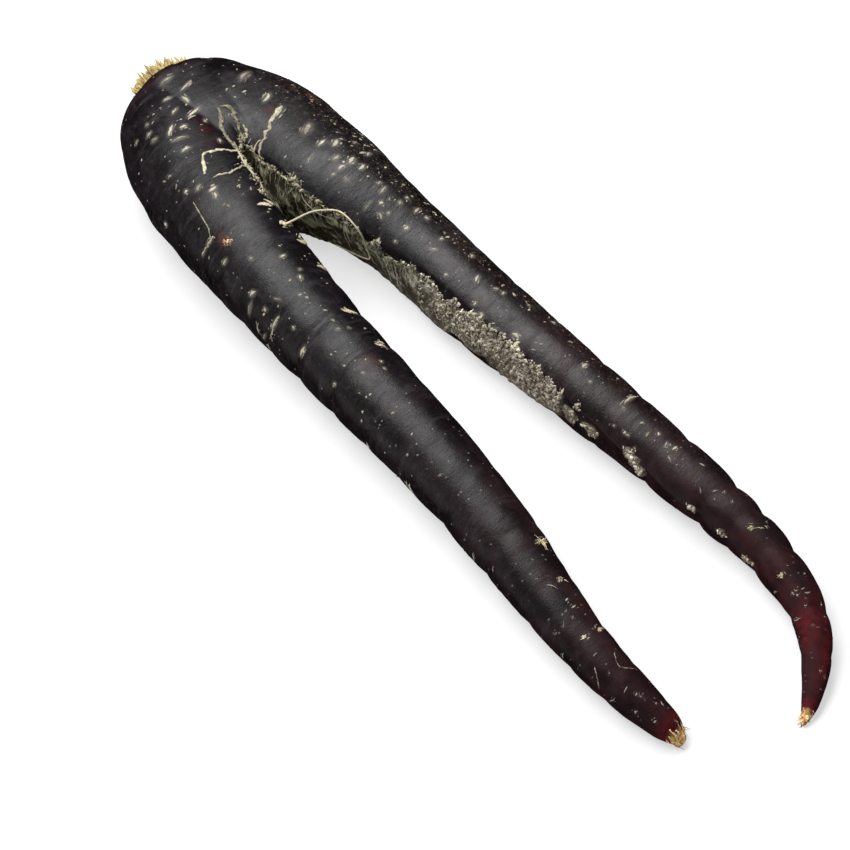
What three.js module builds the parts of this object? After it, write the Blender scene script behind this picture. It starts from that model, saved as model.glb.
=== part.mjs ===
// A black carrot that split lengthwise as it grew: one shoulder, two legs, and the
// cut stubs of its leaf stalks in the hollow of the crown.
//
// Units are millimetres, +Z is up. The carrot lies on the plane z = 0 with its crown
// towards -X and its tips towards +X. The long leg is on the +Y side. The origin is
// under the middle of the whole carrot.
import * as THREE from 'three';
import { mergeVertices } from 'three/addons/utils/BufferGeometryUtils.js';

// ---- driving dimensions ------------------------------------------------------------

const MIDDLE_Y = -2.2; // the plane of the split, where the two lobes of the shoulder meet
const CROWN_AXIS = 13.2; // height of the middle of the crown above the floor
const PRESS = 0.4; // how much of the round underside is flattened where a leg lies
const TURN_IN = 30; // length over which the cross-sections turn to follow a leg
const LOOK = 0.5; // how far to either side a leg's direction is looked up

// The shoulder, from the middle of the crown's hollow to the crotch, the same on both
// sides: x, offset of a lobe from the split, half width and half height of the lobe.
const SHOULDER = [
  [-109.2, 0, 0, 0],
  [-109.6, 0, 2.6, 2.5],
  [-110.3, 0, 4.8, 4.6],
  [-111.0, 0.2, 7.0, 6.6],
  [-111.3, 0.9, 9.0, 8.5],
  [-110.4, 2.2, 11.0, 10.3],
  [-107.4, 4.0, 12.7, 11.9],
  [-100, 6.8, 13.6, 13.1],
  [-90, 9.6, 14.6, 13.6],
  [-80, 11.5, 15.4, 13.8],
  [-70, 12.4, 15.4, 13.7],
  [-64, 12.8, 15.4, 13.6],
];

// The cleft on top of the shoulder, where the split shows: it deepens from here to the
// crotch, and its two walls lean apart.
const CLEFT_START = -93;
const CLEFT_DEPTH = 8;
const CLEFT_FADE = 25; // length below the crotch over which its floor line levels out

// A leg, from below the crotch to its tip: x, y from the split, half width, half height,
// and how far out the flat inner face lies, as a share of the half width. The legs leave
// the crotch alike, so their first rows mirror each other.
const LONG_LEG = [
  [-50, 15.0, 13.1, 12.9, 0.84],
  [-35, 17.7, 11.0, 11.2, 0.84],
  [-10, 19.5, 9.9, 9.9, 0.84],
  [15, 21.8, 8.7, 8.8, 0.87],
  [40, 24.2, 7.6, 7.6, 0.93],
  [65, 26.1, 6.5, 6.5, 1],
  [85, 26.3, 5.2, 5.2, 1],
  [98, 23.4, 4.3, 4.3, 1],
  [106.2, 18.3, 3.5, 3.5, 1],
  [112, 12.2, 2.5, 2.5, 1],
  [115.6, 7.2, 1.5, 1.5, 1],
  [116.6, 5.4, 0.8, 0.9, 1],
];
const SHORT_LEG = [
  [-50, -15.0, 13.1, 12.9, 0.86],
  [-30, -16.0, 11.2, 11.2, 0.93],
  [-5, -16.4, 10.2, 10.2, 1],
  [20, -16.4, 9.1, 9.1, 1],
  [45, -17.8, 8.0, 8.0, 1],
  [68, -20.1, 6.4, 6.4, 1],
  [86, -20.7, 5.1, 5.1, 1],
  [97, -19.6, 4.0, 4.0, 1],
  [102.6, -18.5, 2.8, 2.8, 1],
  [104.6, -18.1, 1.5, 1.6, 1],
];

// How far the upper inner face leans back for each millimetre of height, at a distance
// from the crown. The cleft opens towards the short leg, whose face is soon round, while
// the long leg's face leans again half way down.
const SHORT_LEAN = [[42, 0], [52, 0.45], [66, 0.5], [78, 0.2], [105, 0]];
const LONG_LEAN = [[46, 0], [60, 0.17], [72, 0.05], [90, 0.03], [106, 0.2], [136, 0.2], [165, 0]];

// Rings where a leg is drawn in: distance from the crown, depth, half length.
const LONG_RINGS = [
  [88, 0.25, 2.6],
  [103, 0.3, 2.6],
  [117, 0.25, 2.4],
  [131, 0.35, 2.6],
  [147, 0.35, 2.4],
  [164, 0.55, 2.6],
  [180, 0.75, 2.4],
  [195, 0.7, 2.4],
  [204, 0.65, 2.2],
  [213, 0.6, 2.2],
  [227, 0.4, 2.0],
  [236, 0.3, 1.8],
];
const SHORT_RINGS = [
  [84, 0.25, 2.4],
  [98, 0.35, 2.4],
  [110, 0.3, 2.2],
  [123, 0.35, 2.4],
  [141, 0.3, 2.4],
  [158, 0.35, 2.4],
  [174, 0.4, 2.2],
  [189, 0.35, 2.2],
  [202, 0.35, 2.0],
  [213, 0.3, 1.8],
];

// The fineness of the faceted root.
const SHOULDER_ROWS = 24;
const LEG_STEP = 2.7; // length of a facet along a leg
const OUTER_COLUMNS = 16; // facets round the outside of a lobe or leg
const INNER_COLUMNS = 4; // facets across the inner face of a leg
const NARROWEST_FACE = THREE.MathUtils.degToRad(32); // half angle the inner columns keep

// The stubs of the leaf stalks: angle round the crown's axis in degrees, distance of the
// foot from the axis, width, thickness, length, outward lean in degrees.
const STUBS = [
  [14, 4.7, 4.8, 1.5, 6.7, 8],
  [86, 4.5, 4.7, 1.4, 6.1, 7],
  [158, 4.7, 4.9, 1.6, 7.0, 9],
  [230, 4.6, 4.7, 1.4, 5.4, 8],
  [302, 4.6, 4.8, 1.5, 6.0, 9],
  [52, 1.7, 3.4, 1.2, 6.4, 3],
  [232, 1.7, 3.4, 1.2, 5.6, 3],
];
const STUB_FOOT_X = -110.9; // where the stubs start, clear of the crown's hollow
const STUB_RINGS = 5;
const STUB_POINTS = 6; // points along each face of a stub's crescent section
const STUB_TAPER = 0.12; // share of its width that a stub loses by its cut end
const STUB_THINNING = 0.75; // share of its thickness that a stub loses towards its edges
const STUB_CURL = 0.16; // how far the edges curl towards the axis, as a share of the width
const STUB_CUT = 0.8; // how much the cut end of a stub slopes and is ragged
const STUB_RAG = 4.1; // waves of the ragged cut across a stub, in radians per half width
const STUB_RAG_SHIFT = 2.3; // shift of those waves from one stub to the next, in radians

// ---- materials ---------------------------------------------------------------------

const skin = new THREE.MeshStandardMaterial({ color: 0x231c22, roughness: 0.5, metalness: 0 });
const stalk = new THREE.MeshStandardMaterial({ color: 0xc2a25c, roughness: 0.85, metalness: 0 });

// ---- curves ------------------------------------------------------------------------

// Values that pass smoothly through knots: a cubic between each pair, with the slope at
// a knot averaged from the two stretches beside it.
function through(places, rows, at) {
  const last = places.length - 1;
  const gap = (i) => places[i + 1] - places[i];
  const rise = (i, k) => (rows[i + 1][k] - rows[i][k]) / gap(i);
  const slope = (i, k) => {
    if (i === 0) return rise(0, k);
    if (i === last) return rise(last - 1, k);
    return (rise(i - 1, k) * gap(i) + rise(i, k) * gap(i - 1)) / (gap(i) + gap(i - 1));
  };
  let i = 0;
  while (i < last - 1 && at >= places[i + 1]) i += 1;
  const h = gap(i);
  const t = (at - places[i]) / h;
  const t2 = t * t;
  const t3 = t2 * t;
  return rows[i].map((value, k) => (
    (2 * t3 - 3 * t2 + 1) * value + (t3 - 2 * t2 + t) * h * slope(i, k)
    + (3 * t2 - 2 * t3) * rows[i + 1][k] + (t3 - t2) * h * slope(i + 1, k)
  ));
}

// Straight lines between knots, level before the first and after the last.
function between(knots, at) {
  const next = knots.findIndex(([place]) => place > at);
  if (next < 0) return knots.at(-1)[1];
  if (next === 0) return knots[0][1];
  const [[p0, v0], [p1, v1]] = [knots[next - 1], knots[next]];
  return v0 + ((v1 - v0) * (at - p0)) / (p1 - p0);
}

const ringDepth = (rings, at) => rings.reduce(
  (sum, [place, depth, reach]) => sum + depth * Math.exp(-(((at - place) / reach) ** 2)), 0,
);

// ---- the root ----------------------------------------------------------------------

// Knots of one side as x, y, z, half width, half height and flat share, with the length
// walked over the surface from the middle of the crown to each knot.
function sideKnots(side, tail) {
  const shoulder = SHOULDER.map(([x, y, a, b]) => [x, y * side, CROWN_AXIS, a, b, a ? y / a : 0]);
  const leg = tail.map(([x, y, a, b, flat]) => [x, y, b - PRESS, a, b, flat]);
  const rows = [...shoulder, ...leg];
  const places = [0];
  for (let i = 1; i < rows.length; i += 1) {
    const [p, q] = [rows[i - 1], rows[i]];
    places.push(places[i - 1] + Math.hypot(q[0] - p[0], q[1] - p[1], q[3] - p[3]));
  }
  return { rows, places, crotch: places[SHOULDER.length - 1], length: places.at(-1) };
}

// Stations along one side: even steps over the shoulder, then even steps down the leg.
function stations({ crotch, length }) {
  const leg = length - crotch;
  const legRows = Math.round(leg / LEG_STEP);
  const over = Array.from({ length: SHOULDER_ROWS }, (_, i) => (i * crotch) / SHOULDER_ROWS);
  const down = Array.from({ length: legRows + 1 }, (_, i) => crotch + (i * leg) / legRows);
  return [...over, ...down];
}

// One cross-section: an ellipse whose inner side is cut off by a face that leans back
// above its foot. Angle 0 points to the other leg and angle 90 degrees points up. The
// first columns go from the foot of the leaning face over the top and round the outside
// to the bottom edge of the inner face, the others back up that face. Over the shoulder
// the two lobes join below the foot of the cleft and there is no inner face.
function crossSection(side, knots, { rings, lean }, at) {
  const [x, y, z, wide, high, flatShare] = through(knots.places, knots.rows, at);
  const ahead = through(knots.places, knots.rows, Math.min(at + LOOK, knots.length));
  const behind = through(knots.places, knots.rows, Math.max(at - LOOK, 0));
  const turn = THREE.MathUtils.smoothstep(at, knots.crotch, knots.crotch + TURN_IN)
    * Math.atan2(ahead[1] - behind[1], ahead[0] - behind[0]);
  const inward = [side * Math.sin(turn), -side * Math.cos(turn)];

  const joined = at <= knots.crotch;
  const drawnIn = joined ? 0 : ringDepth(rings, at);
  const [a, b] = [wide - drawnIn, high - drawnIn];
  const flat = joined ? Math.abs(y) : Math.min(flatShare, 1) * a;
  const corner = Math.acos(THREE.MathUtils.clamp(a > 0 ? flat / a : 0, 0, 1));
  const bottom = joined ? corner : Math.max(corner, NARROWEST_FACE);
  const foot = b > 0 ? footAngle(corner, b, x, at, knots.crotch) : corner;

  const round = Array.from({ length: OUTER_COLUMNS + 1 }, (_, j) => (
    foot + ((2 * Math.PI - bottom - foot) * j) / OUTER_COLUMNS));
  const across = Array.from({ length: INNER_COLUMNS - 1 }, (_, j) => (
    -bottom + ((bottom + foot) * (j + 1)) / INNER_COLUMNS));
  const angles = at < knots.crotch ? round : [...round, ...across];
  return angles.map((angle) => {
    const height = b * Math.sin(angle);
    const face = flat - between(lean, at) * Math.max(height - b * Math.sin(foot), 0);
    const reach = Math.min(a * Math.cos(angle), face);
    return [x + reach * inward[0], MIDDLE_Y + y + reach * inward[1], Math.max(z + height, 0)];
  });
}

// The angle at which the leaning face starts: over the shoulder the floor of the cleft,
// and along a leg a line that levels out at half its height.
function footAngle(corner, b, x, at, crotch) {
  const [crotchX, offset, a0, b0] = SHOULDER.at(-1);
  const depth = CLEFT_DEPTH * THREE.MathUtils.smoothstep(x, CLEFT_START, crotchX);
  if (at < crotch) return Math.asin(Math.sin(corner) - depth / b);
  const crotchFoot = Math.asin(Math.sin(Math.acos(offset / a0)) - CLEFT_DEPTH / b0);
  return crotchFoot * (1 - THREE.MathUtils.smoothstep(at, crotch, crotch + CLEFT_FADE));
}

// The skin of one side: strips between neighbouring cross-sections, the part over the
// shoulder open along the split, and a cap on the leg's tip.
function sideTriangles(side, { tail, ...shape }) {
  const knots = sideKnots(side, tail);
  const sections = stations(knots).map((at) => crossSection(side, knots, shape, at));
  const triangles = [];
  const add = (p, q, r) => triangles.push(side > 0 ? [p, q, r] : [p, r, q]);
  for (let i = 1; i < sections.length; i += 1) {
    const [near, far] = [sections[i - 1], sections[i]];
    const columns = i <= SHOULDER_ROWS ? OUTER_COLUMNS : far.length;
    for (let j = 0; j < columns; j += 1) {
      const k = (j + 1) % far.length;
      add(near[j], far[j], far[k]);
      add(near[j], far[k], near[k]);
    }
  }
  const tip = sections.at(-1);
  for (let j = 1; j < tip.length - 1; j += 1) add(tip[0], tip[j + 1], tip[j]);
  return triangles;
}

// ---- the stubs ---------------------------------------------------------------------

// A leaf-stalk stub: a crescent section, hollow side towards the crown's axis, carried
// outwards along -X while it leans away from the axis and narrows, with a sloping cut.
function stubTriangles([angle, distance, width, thickness, length, lean], index) {
  const direction = THREE.MathUtils.degToRad(angle);
  const outward = [Math.cos(direction), Math.sin(direction)];
  const across = [-outward[1], outward[0]];
  const climb = Math.tan(THREE.MathUtils.degToRad(lean));
  const sections = [];
  for (let i = 0; i < STUB_RINGS; i += 1) {
    const share = i / (STUB_RINGS - 1);
    const taper = 1 - STUB_TAPER * share;
    const section = [];
    for (let j = 0; j < 2 * STUB_POINTS; j += 1) {
      const outerFace = j < STUB_POINTS;
      const step = outerFace ? j : 2 * STUB_POINTS - 1 - j;
      const u = (2 * step) / (STUB_POINTS - 1) - 1;
      const halfThickness = (outerFace ? 0.5 : -0.5) * thickness * (1 - STUB_THINNING * u * u);
      const depth = halfThickness - STUB_CURL * width * u * u;
      const wave = Math.sin(STUB_RAG_SHIFT * index + STUB_RAG * u);
      const ragged = share * STUB_CUT * 0.5 * (u + wave);
      const out = distance + climb * length * share + taper * depth;
      const aside = 0.5 * width * taper * u;
      section.push([
        STUB_FOOT_X - (length + ragged) * share,
        MIDDLE_Y + out * outward[0] + aside * across[0],
        CROWN_AXIS + out * outward[1] + aside * across[1],
      ]);
    }
    sections.push(section);
  }
  const count = 2 * STUB_POINTS;
  const triangles = [];
  for (let i = 1; i < STUB_RINGS; i += 1) {
    for (let j = 0; j < count; j += 1) {
      const k = (j + 1) % count;
      triangles.push([sections[i - 1][j], sections[i][k], sections[i - 1][k]]);
      triangles.push([sections[i - 1][j], sections[i][j], sections[i][k]]);
    }
  }
  const foot = sections[0];
  const cut = sections.at(-1);
  for (let j = 0; j < STUB_POINTS - 1; j += 1) {
    const [p, q] = [count - 1 - j, count - 2 - j];
    triangles.push([foot[j], foot[q], foot[p]], [foot[j], foot[j + 1], foot[q]]);
    triangles.push([cut[j], cut[p], cut[q]], [cut[j], cut[q], cut[j + 1]]);
  }
  return triangles;
}

// ---- meshes ------------------------------------------------------------------------

// A closed mesh from loose triangles: shared corners are merged and triangles that
// have shrunk to a line, as at the middle of the crown, are left out.
function mesh(name, triangles, material) {
  const loose = new THREE.BufferGeometry();
  loose.setAttribute('position', new THREE.Float32BufferAttribute(triangles.flat(2), 3));
  const merged = mergeVertices(loose, 1e-3);
  const index = Array.from(merged.index.array);
  const kept = [];
  for (let i = 0; i < index.length; i += 3) {
    const [p, q, r] = index.slice(i, i + 3);
    if (p !== q && q !== r && r !== p) kept.push(p, q, r);
  }
  merged.setIndex(kept);
  merged.computeVertexNormals();
  const piece = new THREE.Mesh(merged, material);
  piece.name = name;
  return piece;
}

const carrot = new THREE.Group();
carrot.add(mesh('carrot_root', [
  ...sideTriangles(1, { tail: LONG_LEG, rings: LONG_RINGS, lean: LONG_LEAN }),
  ...sideTriangles(-1, { tail: SHORT_LEG, rings: SHORT_RINGS, lean: SHORT_LEAN }),
], skin));
STUBS.forEach((stub, i) => {
  carrot.add(mesh(`stalk_stub_${i + 1}`, stubTriangles(stub, i), stalk));
});

export default carrot;
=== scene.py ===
"""A black carrot that split lengthwise as it grew, lying on a pale floor.

Lengths in the tables are millimetres, and meshes are made in metres. The carrot lies along
X with its crown towards -X, and the long leg is on the +Y side. A place on the skin is
given by a station, which is the length walked from the middle of the crown, and an angle
round the leg: 0 degrees faces the other leg and 90 degrees faces up.
"""
from types import SimpleNamespace

import bpy
import numpy as np
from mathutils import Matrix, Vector


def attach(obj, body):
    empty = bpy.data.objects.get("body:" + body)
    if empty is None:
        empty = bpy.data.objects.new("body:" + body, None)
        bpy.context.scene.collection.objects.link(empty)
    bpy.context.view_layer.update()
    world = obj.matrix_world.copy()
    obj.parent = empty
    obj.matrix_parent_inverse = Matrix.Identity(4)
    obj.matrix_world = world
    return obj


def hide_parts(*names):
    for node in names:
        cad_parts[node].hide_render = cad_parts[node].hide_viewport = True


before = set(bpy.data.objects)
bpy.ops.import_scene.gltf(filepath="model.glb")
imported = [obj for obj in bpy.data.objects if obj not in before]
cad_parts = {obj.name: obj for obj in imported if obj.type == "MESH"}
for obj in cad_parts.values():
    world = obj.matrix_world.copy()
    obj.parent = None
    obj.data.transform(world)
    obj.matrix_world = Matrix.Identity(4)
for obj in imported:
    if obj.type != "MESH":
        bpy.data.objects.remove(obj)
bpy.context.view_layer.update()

MM = 0.001
rng = np.random.default_rng(23)

# ---- the root's main form, the same numbers as in the solid part -----------------------

MIDDLE_Y = -2.2  # the plane of the split
CROWN_AXIS = 13.2  # height of the crown's middle
PRESS = 0.4  # how far a leg's ellipse reaches below the floor that flattens it
TURN_IN = 30  # length of leg over which its sections turn square to its own line
LOOK = 0.5  # how far ahead and behind the direction of that line is measured
CLEFT_START = -93  # x where the groove between the lobes starts
CLEFT_DEPTH = 8  # its depth where the legs part
CLEFT_FADE = 25  # length of leg over which its floor rises to the leg's middle
NARROWEST_FACE = np.radians(32)

# x, offset of a lobe from the split, half width and half height of the lobe
SHOULDER = [
    (-109.2, 0, 0, 0), (-109.6, 0, 2.6, 2.5), (-110.3, 0, 4.8, 4.6), (-111, .2, 7, 6.6),
    (-111.3, .9, 9, 8.5), (-110.4, 2.2, 11, 10.3), (-107.4, 4, 12.7, 11.9),
    (-100, 6.8, 13.6, 13.1), (-90, 9.6, 14.6, 13.6), (-80, 11.5, 15.4, 13.8),
    (-70, 12.4, 15.4, 13.7), (-64, 12.8, 15.4, 13.6),
]
# x, y from the split, half width, half height, share of the half width at the flat face
LONG_LEG = [
    (-50, 15, 13.1, 12.9, .84), (-35, 17.7, 11, 11.2, .84), (-10, 19.5, 9.9, 9.9, .84),
    (15, 21.8, 8.7, 8.8, .87), (40, 24.2, 7.6, 7.6, .93), (65, 26.1, 6.5, 6.5, 1),
    (85, 26.3, 5.2, 5.2, 1), (98, 23.4, 4.3, 4.3, 1), (106.2, 18.3, 3.5, 3.5, 1),
    (112, 12.2, 2.5, 2.5, 1), (115.6, 7.2, 1.5, 1.5, 1), (116.6, 5.4, .8, .9, 1),
]
SHORT_LEG = [
    (-50, -15, 13.1, 12.9, .86), (-30, -16, 11.2, 11.2, .93), (-5, -16.4, 10.2, 10.2, 1),
    (20, -16.4, 9.1, 9.1, 1), (45, -17.8, 8, 8, 1), (68, -20.1, 6.4, 6.4, 1),
    (86, -20.7, 5.1, 5.1, 1), (97, -19.6, 4, 4, 1), (102.6, -18.5, 2.8, 2.8, 1),
    (104.6, -18.1, 1.5, 1.6, 1),
]
# station, how far the upper inner face leans back for each millimetre of height
LONG_LEAN = [(46, 0), (60, 0.17), (72, 0.05), (90, 0.03), (106, 0.2), (136, 0.2), (165, 0)]
SHORT_LEAN = [(42, 0), (52, 0.45), (66, 0.5), (78, 0.2), (105, 0)]
# station, how far the lower part of the face is hollowed for each millimetre of depth
LONG_HOLLOW = [(61, 0), (65, 0.3), (70, 0.42), (82, 0.40), (94, 0.22), (108, 0)]
SHORT_HOLLOW = [(61, 0), (70, 0.15), (100, 0.1), (120, 0)]
HOLLOW_TOP = 3  # height above the leg's axis at which the hollow starts

# Rings where a leg is drawn in: station, depth, half length, tilt of the ring, which is
# how much nearer to the crown it runs on the inner side.
LONG_RINGS = [
    (88, .25, 2.4, 1), (103, .3, 2.4, 1.2), (118, .3, 2.2, 1), (133.4, .4, 2.4, 1.2),
    (148.5, .45, 2.2, 1.2), (161, .4, 2.4, 1.4), (176.3, .9, 2.4, 1.5), (192.3, .85, 2.2, 1.1),
    (200.6, .75, 2, 1.1), (210.1, .7, 2, 1.9), (225, .45, 1.8, .8), (235, .3, 1.6, .5),
]
SHORT_RINGS = [
    (69, .35, 2, .2), (76, .35, 2, .2), (83, .4, 2.2, .8), (94.5, .45, 2.2, .9),
    (104.8, .75, 2.4, .5), (117.3, .75, 2.4, .8), (129, .4, 2.2, .8), (141, .35, 2.2, 1),
    (158, .4, 2.2, .8), (174, .45, 2, 1), (189, .4, 2, .8), (202, .4, 1.8, .8), (213, .3, 1.6, .6),
]

# How far up the scar reaches on the long side, at most: station and angle in degrees
LONG_EDGE = [
    (40, 50), (46, 46), (50, 48), (52, 36), (56, 37), (62, 39), (64.3, 48), (66, 39), (71, 35),
    (74, 39), (79, 39), (82, 37), (83.5, 31), (84.2, 23), (86, 20), (88, 33), (88.8, 39),
    (89.6, 32), (91, 19), (94, 21), (97, 31), (101, 38), (102.5, 30), (105, 37), (108, 35),
    (111, 22), (113, 30), (114.4, 42), (116, 26), (118, 31), (120, 43), (122.3, 49), (124, 41),
    (127, 45), (132, 52), (134, 45), (136, 41), (137.3, 31), (139, 43), (141, 46), (143, 38),
    (145, 41), (147, 26), (148, 15), (149, 38), (150, 10),
]

SHORT_EDGE = [(40, 90), (64, 90), (70, 25), (75, 10)]

# Where the upper skin is fuller or lower than the plain form: station, half length, power
# of the fall-off, height, and the angle in radians at which the swelling starts
SHORT_SWELLS = [(9, 3.6, 2, -2, 0), (27, 10, 4, 0.9, 1.9)]
LONG_SWELLS = [
    (9, 3.6, 2, -2, 0), (12, 4, 2, -0.8, 0), (38, 11, 4, 0.9, 0.7), (188, 26, 4, 0.25, 0.6),
]

# Patches of crust on the inner side of the long leg beyond the scar: station, angle,
# half length, half width in millimetres
PATCHES = [
    (152.5, 1, 2.2, 2.4), (154, 31, 1, 1), (158.4, 3, 2.2, 1.5), (170.2, 21, 1.5, 1.5),
    (172.2, 12, 1.8, 1.9), (174, 3, 1.2, 1.5), (189.3, 14, 1, .8), (198.2, 14, 1, .9),
    (206.7, 2, 1.8, .5),
]

# The fineness of the skin
SHOULDER_STEP = 0.7
SCAR_STEP = 0.62
LEG_STEP = 0.85
FINE_END = 176  # station where the coarser rows start
OUTER_COLUMNS = 104
INNER_COLUMNS = 28
NOSE_ROWS = 4  # rows that round off a tip
NOSE = 0.9  # length of a rounded tip
MERGE = 0.005  # points of the plain form that are the same to this become one
SEAM_END, SEAM = -98, 0.06  # up to this x, points this near the middle plane belong on it

SLIT_OPENS, SLIT_OPEN = 42, 50  # stations between which the walls of the split part
SCAR_ENDS = 147, 151  # stations between which the long scar ends
TIPS = 150, 200  # stations between which marks get narrower and darker
BACK, FRONT = -118.15, 117.1  # how far strands may reach along X
RIGHT, LEFT = -30.35, 30.3  # how far the skin may reach along Y
HIGH, ROOM = 26.1, 0.7  # height where lumps start to flatten, and how far they go on
FILLET = 12.0  # how far apart in height the two lobes still blend
FLOOR_GAP = 0.02  # how far above the floor fibres and crumbs stay


# ---- arithmetic on arrays --------------------------------------------------------------


def smoothstep(value, start, end):
    """0 before start, 1 after end, and 3t^2 - 2t^3 of the share t of the way between."""
    t = np.clip((value - start) / (end - start), 0, 1)
    return t * t * (3 - 2 * t)


def unit(vectors):
    """The vectors, each divided by its length."""
    return vectors / np.maximum(np.linalg.norm(vectors, axis=-1, keepdims=True), 1e-12)


def mix(a, b, share):
    """a where share is 0, b where it is 1, in proportion between."""
    return a + (b - a) * share


def hump(value, middle, half, power=2):
    """1 in the middle, and exp(-|distance / half|^power) on both sides of it."""
    return np.exp(-np.abs((value - middle) / half) ** power)


def walk(steps):
    """The way walked before and after each step."""
    return np.concatenate([[0], np.cumsum(steps)])


def gather(groups):
    """Groups of arrays put end to end: all the first ones, all the second ones and so on."""
    return [np.concatenate(values) for values in zip(*groups)]


def round_the_leg(radius, angle, degrees):
    """How far round a leg of that radius the angle lies past one given in degrees."""
    return radius * ((angle - np.radians(degrees) + np.pi) % (2 * np.pi) - np.pi)


def through(places, rows, at):
    """Values that pass smoothly through rows at places: a cubic between each pair, whose
    slope at a place is the average of the two straight slopes beside it, each weighted
    by the length of the other's stretch."""
    gap = np.diff(places)[:, None]
    rise = np.diff(rows, axis=0) / gap
    slope = np.concatenate([rise[:1], rise])
    slope[1:-1] = (rise[:-1] * gap[1:] + rise[1:] * gap[:-1]) / (gap[1:] + gap[:-1])
    i = np.clip(np.searchsorted(places, at, side="right") - 1, 0, len(places) - 2)
    t = (np.asarray(at)[..., None] - places[i][..., None]) / gap[i]
    return (
        (1 + 2 * t) * (1 - t) ** 2 * rows[i]
        + t * (1 - t) ** 2 * gap[i] * slope[i]
        + t * t * (3 - 2 * t) * rows[i + 1]
        + t * t * (t - 1) * gap[i] * slope[i + 1]
    )


LATTICE = np.random.default_rng(5).random((64, 64, 64))


def noise(points, size, layer=0):
    """Smooth random values from -1 to 1: random numbers stand on a grid whose cells have
    that size, and a point blends the eight numbers round its cell by smoothstep weights."""
    q = points / np.asarray(size, float) + 11.37 * layer
    cell = np.floor(q).astype(int)
    t = q - cell
    t = t * t * (3 - 2 * t)
    total = 0
    for corner in np.ndindex(2, 2, 2):
        weight = np.prod(np.where(corner, t, 1 - t), axis=-1)
        i, j, k = np.moveaxis((cell + corner) % 64, -1, 0)
        total = total + weight * LATTICE[i, j, k]
    return 2 * total - 1


# ---- the skin of one side --------------------------------------------------------------


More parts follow.
